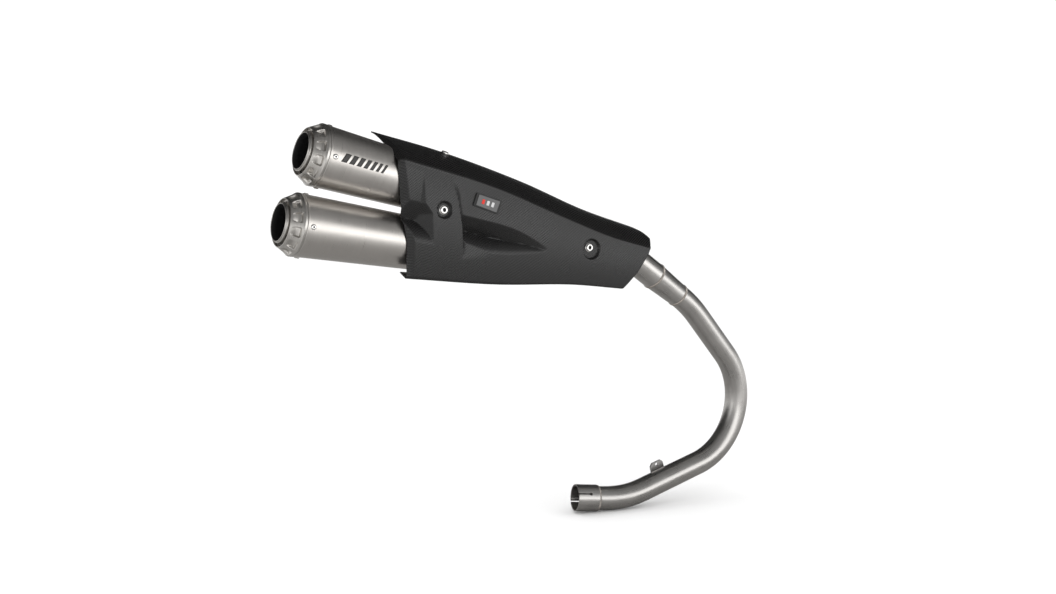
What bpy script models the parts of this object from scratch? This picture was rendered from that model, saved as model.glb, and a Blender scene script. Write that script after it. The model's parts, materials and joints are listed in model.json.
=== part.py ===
"""Racing exhaust system: link pipe, collector, two silencers and their heat shield.

Metres, +Z up. The origin is the centre of the slip socket's mouth, where the
system pushes onto the collector box's outlet. +X runs forward along the
vehicle and -Y is the outboard side, which carries the heat shield.
"""

import math

import bmesh
import bpy
from mathutils import Matrix, Vector

GAP = 0.0003
"""Clearance left between two pieces that touch on the real object."""

# Tubes
PIPE_OD = 0.045
INLET_OD = 0.051
BRANCH_OD = 0.046
TUBE_WALL = 0.0015
SOCKET_OD = 0.050
SOCKET_WALL = 0.0019
SOCKET_LENGTH = 0.042
SOCKET_OVERLAP = 0.006
SLOT_COUNT = 4
SLOT_TURN = math.radians(60)
SLOT_WIDTH = 0.0024
SLOT_LENGTH = 0.024
SLOT_HOLE_R = 0.0028
TUBE_SIDES = 18

# Route of the tubes: corners of the centre line and the radius of each bend
PLANE_Y = -0.026
SOCKET_MOUTH = Vector((0.0, 0.0, 0.0))
CORNER_LOW = Vector((0.096, PLANE_Y, -0.009))
CORNER_LOOP = Vector((0.474, PLANE_Y, 0.091))
CORNER_TOP = Vector((0.248, PLANE_Y, 0.351))
CORNER_INLET = Vector((0.090, PLANE_Y, 0.4595))
JUNCTION = Vector((-0.030, PLANE_Y, 0.474))
BEND_LOW = 0.190
BEND_LOOP = 0.130
BEND_TOP = 0.235
BEND_INLET = 0.120
BEND_BRANCH = 0.070
REDUCER_START = 0.036
REDUCER_LENGTH = 0.069
STUB_LENGTH = 0.050

# Silencers: rear edge of each sleeve, and how far its axis falls going forward
CAN_REAR = {"upper": Vector((-0.516, PLANE_Y, 0.636)), "lower": Vector((-0.555, PLANE_Y, 0.526))}
CAN_PITCH = {"upper": math.radians(14.6), "lower": math.radians(9.9)}
CAN_LENGTH = 0.300
CAN_REAR_R = 0.051
CAN_FRONT_R = 0.042
CAN_WALL = 0.001
CAN_SIDES = 36
RIVET_COUNT = 4
RIVET_X = 0.010
RIVET_HOLE_R = 0.0025
RIVET_PROFILE = (
    (-0.004, 0), (-0.004, 0.0022), (GAP, 0.0022), (GAP, 0.0045),
    (0.0014, 0.0042), (0.0021, 0.0025), (0.0021, 0),
)

# End cap and removable damper insert, along the can axis (-x points out of the mouth)
CAP_RING_R = 0.0515
CAP_RING_X = -0.0045
CAP_CONE_R = 0.0498
CAP_RIM_X = -0.0245
CAP_RIM_R = 0.0395
CAP_BORE_R = 0.0338
CAP_SPIGOT = 0.018
CAP_GROOVE_X = -0.0185
WINDOW_COUNT = 12
WINDOW_WIDTH = math.radians(21)
WINDOW_FLOOR_R = 0.0415
WINDOW_X = (-0.0215, -0.0075)
INSERT_MOUTH_X = -0.0295
INSERT_OUTER_R = 0.0332
INSERT_BORE_R = 0.0292
INSERT_LENGTH = 0.085
SCREW_ANGLE = math.radians(-50)
SCREW_RADIUS = 0.0353
SCREW_SHANK_R = 0.0010
SCREW_HOLE_R = 0.0014
CORE_INNER_R = 0.0338
CORE_OUTER_R = 0.0350
CORE_X = (0.0125, 0.2955)
LOUVRE_SIZE = (0.070, 0.1, 0.007)
LOUVRE_X = (0.140, 0.230)
PACKING_X = (0.019, 0.285)
FRONT_CAP_X = 0.345
EAR_LOW = (-0.0225, 0.0325, -0.003)
EAR_HIGH = (-0.0205, 0.0374, 0.003)

# Heat shield: (x, z) points of the edges that run along it, rear to front
SHIELD_SKIN = 0.0022
SHIELD_LIP = ((-0.403, 0.676), (-0.275, 0.643), (-0.115, 0.590), (0.015, 0.538), (0.125, 0.503))
SHIELD_CREASE = ((-0.398, 0.633), (-0.220, 0.584), (-0.070, 0.528), (0.030, 0.492), (0.113, 0.470))
SHIELD_BOTTOM = ((-0.382, 0.440), (-0.210, 0.418), (-0.050, 0.408), (0.050, 0.396))
SHIELD_SIDE_Y = (-0.086, -0.072)
SHIELD_LIP_Y = (0.012, -0.004)
SHIELD_CROWN = 0.006
SHIELD_CORNER = 0.008
SHIELD_UNDERLIP = 0.040
GROOVE_DEPTH = 0.020
GROOVE_TOP = ((-0.392, 0.566), (-0.282, 0.542), (-0.154, 0.499), (-0.114, 0.472))
GROOVE_FLOOR = ((-0.392, 0.537), (-0.114, 0.471))
GROOVE_BOTTOM = ((-0.392, 0.500), (-0.279, 0.4805), (-0.178, 0.468), (-0.114, 0.470))
BAND_X = (-0.345, -0.283)
RECESS_R = 0.0135
RECESS_DEPTH = 0.005
BOLT_HOLE_R = 0.0036
SIDE_BOLTS = {"rear": (-0.317, 0.5465), "front": (-0.020, 0.4735)}
TOP_BOLT = (-0.278, -0.012)
CUP_INSET = 0.0008
BOLT_SHANK_R = 0.003
POST_SIDES = 16
REAR_PULL = 0.040
FRONT_PULL = 0.140

# Saddle, hanger and the posts that carry the shield
CUT_GAP = 0.0004
SADDLE_HALF_WIDTH = 0.013
SADDLE_Z = (0.515, 0.577)
SADDLE_BACK_Y = 0.024
BUSH_SPACE = 0.0018
HANGER_SCREW_Z = (0.529, 0.563)
HANGER_THICKNESS = 0.004
HANGER_EYE = Vector((-0.262, SADDLE_BACK_Y + GAP, 0.560))
HANGER_EYE_R = 0.012
HANGER_ROUND_R = 0.019
HANGER_BUSH = ((-0.005, HANGER_EYE_R - GAP), (0.005, HANGER_EYE_R - GAP), (0.005, 0.0064), (-0.005, 0.0064))
HANGER_SLEEVE = ((-0.007, 0.0061), (0.007, 0.0061), (0.007, 0.0042), (-0.007, 0.0042))
SHIELD_BUSH = ((0, 0.009), (0.0012, 0.009), (0.0012, BOLT_HOLE_R), (0, BOLT_HOLE_R))
FRONT_POST = ((0, 0), (0, 0.009), (0.024, 0.009), (0.024, 0))
TOP_POST = ((0.0045, 0), (0.0045, 0.008), (0.040, 0.008), (0.040, 0))

# Badge on the shield and lug on the link pipe
BADGE_CORNERS = ((-0.252, 0.5725), (-0.2085, 0.559), (-0.217, 0.539), (-0.259, 0.5535))
BADGE_THICKNESS = 0.0012
TAB_ALONG = 0.097
TAB_OUTLINE = ((-0.017, 0), (0.017, 0), (0.015, 0.029), (0.010, 0.034), (-0.010, 0.034), (-0.015, 0.029))
TAB_THICKNESS = 0.003
TAB_HOLE_HEIGHT = 0.0285
TAB_HOLE_R = 0.0032


def material(name, colour, roughness, metallic):
    """A plain surface: base colour, roughness and metallic value."""
    mat = bpy.data.materials.new(name)
    mat.use_nodes = True
    shader = mat.node_tree.nodes["Principled BSDF"]
    shader.inputs["Base Color"].default_value = (*colour, 1.0)
    shader.inputs["Roughness"].default_value = roughness
    shader.inputs["Metallic"].default_value = metallic
    return mat


def add_object(name, bm, mat, parent=None):
    """Turn a bmesh into a named object, its faces pointing out."""
    bmesh.ops.recalc_face_normals(bm, faces=bm.faces)
    mesh = bpy.data.meshes.new(name)
    bm.to_mesh(mesh)
    bm.free()
    if mat:
        mesh.materials.append(mat)
    mesh.shade_smooth()
    mesh.set_sharp_from_angle(angle=math.radians(35))
    obj = bpy.data.objects.new(name, mesh)
    bpy.context.scene.collection.objects.link(obj)
    obj.parent = parent
    return obj


def place(obj, location, direction):
    """Put an object at a location, with its local +x along a direction."""
    obj.location = location
    obj.rotation_mode = "QUATERNION"
    obj.rotation_quaternion = Vector((1, 0, 0)).rotation_difference(Vector(direction))
    return obj


def turned_mesh(profile, sides, closed=True):
    """Spin (x, radius) points about the x axis; an open profile starts and ends on it."""
    bm = bmesh.new()
    verts = [bm.verts.new((x, 0.0, radius)) for x, radius in profile]
    last = len(verts) if closed else len(verts) - 1
    edges = [bm.edges.new((verts[i], verts[(i + 1) % len(verts)])) for i in range(last)]
    bmesh.ops.spin(
        bm, geom=verts + edges, cent=(0, 0, 0), axis=(1, 0, 0), angle=2 * math.pi, steps=sides, use_merge=True
    )
    bmesh.ops.remove_doubles(bm, verts=bm.verts, dist=1e-6)
    return bm


def turned(name, profile, sides, mat, parent=None, closed=True):
    """A turned piece whose axis is its local x."""
    return add_object(name, turned_mesh(profile, sides, closed), mat, parent)


def prism(name, outline, depth, mat, parent=None):
    """An (x, z) outline extruded from y = 0 to y = depth."""
    bm = bmesh.new()
    face = bm.faces.new([bm.verts.new((x, 0.0, z)) for x, z in outline])
    grown = bmesh.ops.extrude_face_region(bm, geom=[face])["geom"]
    moved = [item for item in grown if isinstance(item, bmesh.types.BMVert)]
    bmesh.ops.translate(bm, verts=moved, vec=(0.0, depth, 0.0))
    return add_object(name, bm, mat, parent)


def block(low, high):
    """A box between two corners."""
    bm = bmesh.new()
    size = [b - a for a, b in zip(low, high)]
    middle = [(a + b) / 2 for a, b in zip(low, high)]
    bmesh.ops.create_cube(bm, size=1.0, matrix=Matrix.Translation(middle) @ Matrix.Diagonal((*size, 1.0)))
    return bm


def cutter(obj):
    """Mark an object as a tool that is not part of the design."""
    obj.hide_render = True
    obj.display_type = "WIRE"
    return obj


def boolean(obj, tool, operation):
    """Keep an exact Boolean on an object."""
    modifier = obj.modifiers.new(operation.lower(), "BOOLEAN")
    modifier.operation = operation
    modifier.object = tool
    return obj


def rounded_path(corners, radii):
    """Points of a line through corners, each inner corner turned on its radius."""
    points = [corners[0]]
    for before, corner, after, radius in zip(corners, corners[1:], corners[2:], radii):
        back = (before - corner).normalized()
        ahead = (after - corner).normalized()
        turn = math.pi - back.angle(ahead)
        tangent = radius * math.tan(turn / 2)
        middle = corner + (back + ahead).normalized() * (radius / math.cos(turn / 2))
        first = (corner + back * tangent - middle).normalized()
        last = (corner + ahead * tangent - middle).normalized()
        pieces = max(2, round(math.degrees(turn) / 8))
        for i in range(pieces + 1):
            points.append(middle + first.slerp(last, i / pieces) * radius)
    points.append(corners[-1])
    return points


def swept(name, points, radii, mat, sides=TUBE_SIDES):
    """Sweep circles along points; radii are (outer, inner) pairs per point, or one pair."""
    if isinstance(radii, tuple):
        radii = [radii] * len(points)
    bm = bmesh.new()
    hollow = radii[0][1] > 0
    side = Vector((0, 1, 0))
    turns = [2 * math.pi * k / sides for k in range(sides)]
    rings = []
    for i, point in enumerate(points):
        ahead = (points[min(i + 1, len(points) - 1)] - points[max(i - 1, 0)]).normalized()
        side = (side - ahead * side.dot(ahead)).normalized()
        up = ahead.cross(side)
        ring = []
        for radius in radii[i] if hollow else radii[i][:1]:
            around = [side * math.cos(t) + up * math.sin(t) for t in turns]
            ring.append([bm.verts.new(point + direction * radius) for direction in around])
        rings.append(ring)
    for k in range(sides):
        n = (k + 1) % sides
        for a, b in zip(rings, rings[1:]):
            for wall_a, wall_b in zip(a, b):
                bm.faces.new((wall_a[k], wall_a[n], wall_b[n], wall_b[k]))
        if hollow:
            for outer, inner in (rings[0], rings[-1]):
                bm.faces.new((outer[k], outer[n], inner[n], inner[k]))
    if not hollow:
        bm.faces.new(rings[0][0])
        bm.faces.new(rings[-1][0])
    return add_object(name, bm, mat)


def curve_z(points, x):
    """Height at x of the smooth curve through (x, z) points, straight past its ends."""
    if x <= points[0][0] or x >= points[-1][0] or len(points) == 2:
        (x0, z0), (x1, z1) = points[:2] if x < points[1][0] else points[-2:]
        return z0 + (z1 - z0) * (x - x0) / (x1 - x0)
    slopes = [(b[1] - a[1]) / (b[0] - a[0]) for a, b in zip(points, points[1:])]
    tangents = [slopes[0], *((a + b) / 2 for a, b in zip(slopes, slopes[1:])), slopes[-1]]
    i = max(k for k in range(len(points) - 1) if points[k][0] <= x)
    (x0, z0), (x1, z1) = points[i : i + 2]
    t = (x - x0) / (x1 - x0)
    rise = (z1 - z0) * (3 * t**2 - 2 * t**3)
    leave = tangents[i] * (x1 - x0) * (t**3 - 2 * t**2 + t)
    arrive = tangents[i + 1] * (x1 - x0) * (t**3 - t**2)
    return z0 + rise + leave + arrive


def along(ends, x):
    """A value that runs evenly from the shield's rear end to its front end."""
    rear = SHIELD_LIP[0][0]
    front = SHIELD_LIP[-1][0]
    return ends[0] + (ends[1] - ends[0]) * (x - rear) / (front - rear)


def groove_depth(x):
    """Depth of the groove's floor: full at the rear, none under the band, fading to the tip."""
    fade = (GROOVE_FLOOR[1][0] - x) / (GROOVE_FLOOR[1][0] - BAND_X[1])
    if x <= BAND_X[0]:
        return GROOVE_DEPTH * min(1.0, (BAND_X[0] - x) / 0.012)
    if x <= BAND_X[1] or fade <= 0:
        return 0.0
    return GROOVE_DEPTH * min(1.0, (x - BAND_X[1]) / 0.004) * min(1.0, 1.3 * fade)


def shield_section(x):
    """(y, z) points of the shield's outer skin at x, from its top lip round to its bottom lip."""
    side_y = along(SHIELD_SIDE_Y, x)
    lip = Vector((along(SHIELD_LIP_Y, x), curve_z(SHIELD_LIP, x)))
    crease = Vector((side_y + 0.002, curve_z(SHIELD_CREASE, x)))
    bottom_z = curve_z(SHIELD_BOTTOM, x)
    chord = crease - lip
    out = Vector((chord.y, -chord.x)).normalized()
    points = []
    for t in (0.0, 0.2, 0.45, 0.72, 1.0):
        points.append(lip + chord * t + out * (SHIELD_CROWN * 4 * t * (1 - t)))
    points.append(Vector((side_y, crease.y - 0.006)))
    floor_z = curve_z(GROOVE_FLOOR, x)
    top_z = max(curve_z(GROOVE_TOP, x), floor_z + 0.004)
    low_z = min(curve_z(GROOVE_BOTTOM, x), floor_z - 0.004)
    points.append(Vector((side_y, (points[-1].y + top_z) / 2)))
    points.append(Vector((side_y, top_z)))
    points.append(Vector((side_y + groove_depth(x), floor_z)))
    points.append(Vector((side_y, low_z)))
    points.append(Vector((side_y, bottom_z + SHIELD_CORNER)))
    points.append(Vector((side_y + 0.3 * SHIELD_CORNER, bottom_z + 0.3 * SHIELD_CORNER)))
    points.append(Vector((side_y + SHIELD_CORNER, bottom_z)))
    points.append(Vector((side_y + SHIELD_UNDERLIP * (1 - 0.3 * along((0, 1), x)), bottom_z)))
    return points


def shield_point(x, row):
    """The outer skin's point in a row at a nominal x, drawn towards the slanted end edges."""
    share = row / 13
    rear_slant = 0.021 * min(1.0, max(0.0, share - 0.2) / 0.6)
    front_slant = 0.012 * min(1.0, share / 0.3) + 0.065 * max(0.0, (share - 0.3) / 0.7)
    rear_pull = max(0.0, 1 - (x - SHIELD_LIP[0][0]) / REAR_PULL)
    front_pull = max(0.0, 1 - (SHIELD_LIP[-1][0] - x) / FRONT_PULL)
    x_row = x + rear_slant * rear_pull - front_slant * front_pull
    y, z = shield_section(x_row)[row]
    return Vector((x_row, y, z))


def shield_normal(x, y):
    """Point and outward normal of the top panel at x and y."""
    section = shield_section(x)[:5]
    for a, b in zip(section, section[1:]):
        if b.x <= y <= a.x:
            z = a.y + (b.y - a.y) * (y - a.x) / (b.x - a.x)
            across = Vector((0, b.x - a.x, b.y - a.y))
    ahead = Vector((0.02, 0, curve_z(SHIELD_LIP, x + 0.01) - curve_z(SHIELD_LIP, x - 0.01)))
    normal = across.cross(ahead).normalized()
    return Vector((x, y, z)), normal if normal.z > 0 else -normal


def can_axis(which):
    """Rear edge centre of a can and the unit vector along its axis, going forward."""
    pitch = CAN_PITCH[which]
    return CAN_REAR[which], Vector((math.cos(pitch), 0.0, -math.sin(pitch)))


def can_radius(x):
    """Outer radius of a sleeve at x from its rear edge."""
    return CAN_REAR_R + (CAN_FRONT_R - CAN_REAR_R) * x / CAN_LENGTH


def bore_radius(x):
    """Radius that fits inside a sleeve at x with the usual clearance."""
    return can_radius(x) - CAN_WALL - GAP


def make_materials():
    """Every finish used on the object."""
    return {
        "titanium": material("brushed_titanium", (0.56, 0.53, 0.50), 0.32, 1.0),
        "cap": material("machined_titanium", (0.62, 0.59, 0.56), 0.28, 1.0),
        "steel": material("brushed_steel", (0.55, 0.53, 0.51), 0.30, 1.0),
        "carbon": material("carbon_weave", (0.025, 0.024, 0.023), 0.38, 0.0),
        "dark": material("sooted_steel", (0.03, 0.03, 0.03), 0.7, 0.6),
        "bolt": material("bright_fastener", (0.75, 0.74, 0.72), 0.2, 1.0),
        "wool": material("silencer_wool", (0.75, 0.70, 0.55), 0.95, 0.0),
        "rubber": material("rubber", (0.02, 0.02, 0.02), 0.7, 0.0),
        "badge": material("badge_plate", (0.55, 0.55, 0.56), 0.3, 1.0),
    }


def make_rivets(which, frame, mats):
    """Ring of rivets through sleeve and spigot, and the cutter for their holes."""
    surface = can_radius(RIVET_X)
    holes = bmesh.new()
    for i in range(RIVET_COUNT):
        turn = 2 * math.pi * i / RIVET_COUNT
        radial = Vector((0, math.cos(turn), math.sin(turn)))
        centre = Vector((RIVET_X, 0, 0)) + radial * surface
        rivet = turned(f"{which}_rivet_{i + 1}", RIVET_PROFILE, 8, mats["bolt"], frame, closed=False)
        place(rivet, centre, radial)
        spin = Vector((0, 0, 1)).rotation_difference(radial).to_matrix().to_4x4()
        bmesh.ops.create_cone(
            holes, cap_ends=True, segments=8, radius1=RIVET_HOLE_R, radius2=RIVET_HOLE_R, depth=0.012,
            matrix=Matrix.Translation(centre) @ spin,
        )
    return cutter(add_object(f"{which}_rivet_holes", holes, None, frame))


def make_windows(which, frame):
    """Cutter for the pockets round the cap's cone."""
    bm = bmesh.new()
    for i in range(WINDOW_COUNT):
        middle = 2 * math.pi * (i + 0.5) / WINDOW_COUNT
        turns = [middle + WINDOW_WIDTH * (k / 2 - 0.5) for k in range(3)]
        outline = [(WINDOW_FLOOR_R, turn) for turn in turns]
        outline += [(CAP_RING_R + 0.0065, turn) for turn in turns[::-1]]
        ends = []
        for x in WINDOW_X:
            ends.append([bm.verts.new((x, r * math.cos(t), r * math.sin(t))) for r, t in outline])
        bm.faces.new(ends[0])
        bm.faces.new(ends[1])
        for a, b, c, d in zip(ends[0], ends[0][1:] + ends[0][:1], ends[1][1:] + ends[1][:1], ends[1]):
            bm.faces.new((a, b, c, d))
    return cutter(add_object(f"{which}_windows", bm, None, frame))


def screw_centre(x):
    """Point of the insert screw's axis, in the can's own frame."""
    return Vector((x, SCREW_RADIUS * math.cos(SCREW_ANGLE), SCREW_RADIUS * math.sin(SCREW_ANGLE)))


def make_insert(which, frame, mats):
    """Removable noise damper with the ear and the screw that hold it in the cap."""
    profile = (
        (INSERT_MOUTH_X, INSERT_BORE_R), (INSERT_MOUTH_X, 0.0318), (-0.0275, INSERT_OUTER_R),
        (0.060, INSERT_OUTER_R), (INSERT_LENGTH, 0.0235), (INSERT_LENGTH, 0.0222),
        (0.0595, 0.0317), (-0.016, 0.0317), (-0.019, INSERT_BORE_R),
    )
    insert = turned(f"{which}_damper_insert", profile, 24, mats["dark"], frame)
    ear = cutter(add_object(f"{which}_ear", block(EAR_LOW, EAR_HIGH), None, frame))
    ear.rotation_euler = (SCREW_ANGLE, 0, 0)
    boolean(insert, ear, "UNION")
    bore = ((-0.03, 0), (-0.03, SCREW_HOLE_R), (-0.008, SCREW_HOLE_R), (-0.008, 0))
    hole = cutter(turned(f"{which}_screw_hole", bore, 10, None, frame, closed=False))
    hole.location = screw_centre(0)
    boolean(insert, hole, "DIFFERENCE")
    shank = (
        (-0.0252, 0), (-0.0252, 0.0016), (-0.0228, 0.0018), (-0.0228, SCREW_SHANK_R),
        (-0.0090, SCREW_SHANK_R), (-0.0090, 0),
    )
    screw = turned(f"{which}_insert_screw", shank, 10, mats["bolt"], frame, closed=False)
    screw.location = screw_centre(0)
    return hole


def make_core(which, frame, mats):
    """Perforated core tube; its louvres are slots in two rows."""
    core = turned(
        f"{which}_core_tube",
        (
            (CORE_X[0], CORE_OUTER_R), (CORE_X[1], CORE_OUTER_R),
            (CORE_X[1], CORE_INNER_R), (CORE_X[0], CORE_INNER_R),
        ),
        24, mats["dark"], frame,
    )
    slots = []
    for i in range(3):
        slot = bmesh.new()
        for x in LOUVRE_X:
            spin = Matrix.Rotation(math.pi * (i + 0.5) / 3, 4, "X")
            size = Matrix.Diagonal((*LOUVRE_SIZE, 1.0))
            bmesh.ops.create_cube(slot, size=1.0, matrix=Matrix.Translation((x, 0, 0)) @ spin @ size)
        slots.append(cutter(add_object(f"{which}_louvres_{i + 1}", slot, None, frame)))
    for slot in slots:
        boolean(core, slot, "DIFFERENCE")
    return core


def make_can(which, mats):
    """One silencer: sleeve, caps, rivets, core, packing and removable insert."""
    rear, _ = can_axis(which)
    frame = bpy.data.objects.new(f"{which}_can_axis", None)
    bpy.context.scene.collection.objects.link(frame)
    frame.location = rear
    frame.rotation_euler = (0, CAN_PITCH[which], 0)
    sleeve = turned(
        f"{which}_can_sleeve",
        (
            (0, CAN_REAR_R), (CAN_LENGTH, CAN_FRONT_R),
            (CAN_LENGTH, CAN_FRONT_R - CAN_WALL), (0, CAN_REAR_R - CAN_WALL),
        ),
        CAN_SIDES, mats["titanium"], frame,
    )
    cap = turned(
        f"{which}_end_cap",
        (
            (CAP_SPIGOT, bore_radius(CAP_SPIGOT)), (-GAP, bore_radius(0)), (-GAP, CAP_RING_R),
            (CAP_RING_X, CAP_RING_R), (CAP_RING_X - 0.0013, CAP_CONE_R),
            (CAP_RIM_X + 0.002, CAP_RIM_R + 0.001), (CAP_RIM_X, CAP_RIM_R), (CAP_RIM_X, 0.0385),
            (CAP_GROOVE_X, 0.0378), (CAP_GROOVE_X, CAP_BORE_R),
            (0.012, CAP_BORE_R), (0.012, 0.0362), (-0.002, 0.0362), (-0.002, 0.0474), (CAP_SPIGOT, 0.0474),
        ),
        CAN_SIDES, mats["cap"], frame,
    )
    rivet_holes = make_rivets(which, frame, mats)
    boolean(sleeve, rivet_holes, "DIFFERENCE")
    boolean(cap, rivet_holes, "DIFFERENCE")
    boolean(cap, make_windows(which, frame), "DIFFERENCE")
    boolean(cap, make_insert(which, frame, mats), "DIFFERENCE")
    make_core(which, frame, mats)
    turned(
        f"{which}_packing",
        (
            (PACKING_X[0], bore_radius(PACKING_X[0])), (PACKING_X[1], bore_radius(PACKING_X[1])),
            (PACKING_X[1], CORE_OUTER_R + GAP), (PACKING_X[0], CORE_OUTER_R + GAP),
        ),
        24, mats["wool"], frame,
    )
    turned(
        f"{which}_front_cap",
        (
            (0.286, bore_radius(0.286)), (CAN_LENGTH + GAP, bore_radius(CAN_LENGTH)),
            (CAN_LENGTH + GAP, CAN_FRONT_R),
            (0.304, CAN_FRONT_R), (0.322, BRANCH_OD / 2), (FRONT_CAP_X, BRANCH_OD / 2),
            (FRONT_CAP_X, BRANCH_OD / 2 - TUBE_WALL), (0.3225, BRANCH_OD / 2 - TUBE_WALL), (0.3045, 0.0345),
            (0.296, 0.0345), (0.296, 0.0385), (0.286, 0.0388),
        ),
        CAN_SIDES, mats["steel"], frame,
    )


def make_pipe(mats):
    """Slip socket, link pipe, reducer cone and inlet tube."""
    low_run = (CORNER_LOW - SOCKET_MOUTH).normalized()
    top_run = (CORNER_INLET - CORNER_TOP).normalized()
    bore = SOCKET_OD / 2 - SOCKET_WALL
    socket = turned(
        "slip_socket",
        ((0, SOCKET_OD / 2), (SOCKET_LENGTH, SOCKET_OD / 2), (SOCKET_LENGTH, bore), (0, bore)),
        24, mats["steel"],
    )
    place(socket, SOCKET_MOUTH, low_run)
    for i in range(SLOT_COUNT):
        turn = SLOT_TURN + 2 * math.pi * i / SLOT_COUNT
        outline = [(-0.002, -SLOT_WIDTH / 2), (SLOT_LENGTH - SLOT_HOLE_R, -SLOT_WIDTH / 2)]
        for k in range(9):
            around = math.radians(-150 + 300 * k / 8)
            outline.append((SLOT_LENGTH + SLOT_HOLE_R * math.cos(around), SLOT_HOLE_R * math.sin(around)))
        outline += [(SLOT_LENGTH - SLOT_HOLE_R, SLOT_WIDTH / 2), (-0.002, SLOT_WIDTH / 2)]
        slot = cutter(prism(f"socket_slot_{i + 1}", outline, 0.012, None, socket))
        slot.location = (0, 0.020 * math.cos(turn), 0.020 * math.sin(turn))
        slot.rotation_euler = (turn, 0, 0)
        boolean(socket, slot, "DIFFERENCE")
    radii = (PIPE_OD / 2, PIPE_OD / 2 - TUBE_WALL)
    start = SOCKET_MOUTH + low_run * (SOCKET_LENGTH - SOCKET_OVERLAP)
    end = CORNER_TOP + top_run * (REDUCER_START - GAP)
    route = rounded_path([start, CORNER_LOW, CORNER_LOOP, CORNER_TOP, end], [BEND_LOW, BEND_LOOP, BEND_TOP])
    swept("link_pipe", route, radii, mats["steel"])
    cone_start = CORNER_TOP + top_run * REDUCER_START
    cone_end = cone_start + top_run * REDUCER_LENGTH
    wide = (INLET_OD / 2, INLET_OD / 2 - TUBE_WALL)
    swept("reducer_cone", [cone_start, cone_end], [radii, wide], mats["steel"])
    inlet = rounded_path([cone_end + top_run * GAP, CORNER_INLET, stub_end()], [BEND_INLET])
    swept("inlet_tube", inlet, wide, mats["steel"])


def stub_end():
    """Point where the inlet tube meets the collector's stub."""
    return JUNCTION + (CORNER_INLET - JUNCTION).normalized() * STUB_LENGTH


def branch_routes(extra):
    """Centre lines of the collector's two branches and its stub, longer by extra at open ends."""
    ahead = (CORNER_INLET - JUNCTION).normalized()
    mouth = stub_end() + ahead * (extra - GAP)
    routes = []
    for which in ("upper", "lower"):
        rear, axis = can_axis(which)
        start = rear + axis * (FRONT_CAP_X + GAP - extra)
        corner = rear + axis * (FRONT_CAP_X + 0.065)
        corners = [start, corner, JUNCTION, JUNCTION + ahead * 0.030]
        routes.append(rounded_path(corners, [BEND_BRANCH, BEND_BRANCH]))
    routes.append([JUNCTION, mouth])
    return routes


def collector_tools(name, grow, extra):
    """Solid rods along the collector's three legs, as cutters."""
    upper, lower, stub = branch_routes(extra)
    branch_r = BRANCH_OD / 2 + grow
    return [
        cutter(swept(f"{name}_upper", upper, (branch_r, 0), None, 16)),
        cutter(swept(f"{name}_lower", lower, (branch_r, 0), None, 16)),
        cutter(swept(f"{name}_stub", stub, (INLET_OD / 2 + grow, 0), None, 16)),
    ]


def make_collector(mats):
    """Y collector that joins both silencers to the inlet tube."""
    upper, lower, stub = branch_routes(0)
    collector = swept("y_collector", upper, (BRANCH_OD / 2, 0), mats["steel"], 16)
    boolean(collector, cutter(swept("collector_lower", lower, (BRANCH_OD / 2, 0), None, 16)), "UNION")
    boolean(collector, cutter(swept("collector_stub", stub, (INLET_OD / 2, 0), None, 16)), "UNION")
    for tool in collector_tools("collector_bore", -TUBE_WALL, 0.002):
        boolean(collector, tool, "DIFFERENCE")


def can_tool(name, which):
    """Cutter the shape of a can, a little larger, for what is shaped to lie on it."""
    rear, axis = can_axis(which)
    profile = ((0, 0), (0, CAN_REAR_R + CUT_GAP), (CAN_LENGTH, CAN_FRONT_R + CUT_GAP), (CAN_LENGTH, 0))
    return place(cutter(turned(name, profile, CAN_SIDES, None, closed=False)), rear, axis)


def make_saddle(mats):
    """Bracket between the cans: carries the shield's rear bolt and the hanger plate."""
    x, z = SIDE_BOLTS["rear"]
    front = recess_back("rear") + BUSH_SPACE
    low = (x - SADDLE_HALF_WIDTH, front, SADDLE_Z[0])
    high = (x + SADDLE_HALF_WIDTH, SADDLE_BACK_Y, SADDLE_Z[1])
    saddle = add_object("can_saddle", block(low, high), mats["steel"])
    for which in CAN_REAR:
        boolean(saddle, can_tool(f"saddle_{which}_cut", which), "DIFFERENCE")
    boolean(saddle, bolt_hole("saddle_front_hole", (x, front - 0.001, z), (0, 1, 0), 0.023), "DIFFERENCE")
    for screw_z in HANGER_SCREW_Z:
        start = (x, SADDLE_BACK_Y + 0.001, screw_z)
        hole = bolt_hole(f"saddle_back_hole_{screw_z}", start, (0, -1, 0), 0.008)
        boolean(saddle, hole, "DIFFERENCE")


def bolt_hole(name, start, direction, depth, radius=BOLT_HOLE_R):
    """Round cutter that runs a depth from a start point."""
    sides = 12 if radius < 0.005 else 24
    hole = cutter(turned(name, ((0, 0), (0, radius), (depth, radius), (depth, 0)), sides, None, closed=False))
    return place(hole, start, direction)


def make_bolt(name, seat, direction, length, mats, head_r=0.008, head_h=0.004):
    """Flanged bolt whose head sits on seat and whose shank runs along direction."""
    profile = (
        (-head_h, 0), (-head_h, 0.62 * head_r), (-0.0016, 0.66 * head_r), (-0.0014, head_r), (-GAP, head_r),
        (-GAP, BOLT_SHANK_R), (length, BOLT_SHANK_R), (length, 0),
    )
    return place(turned(name, profile, 14, mats["bolt"], closed=False), seat, direction)


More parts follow.
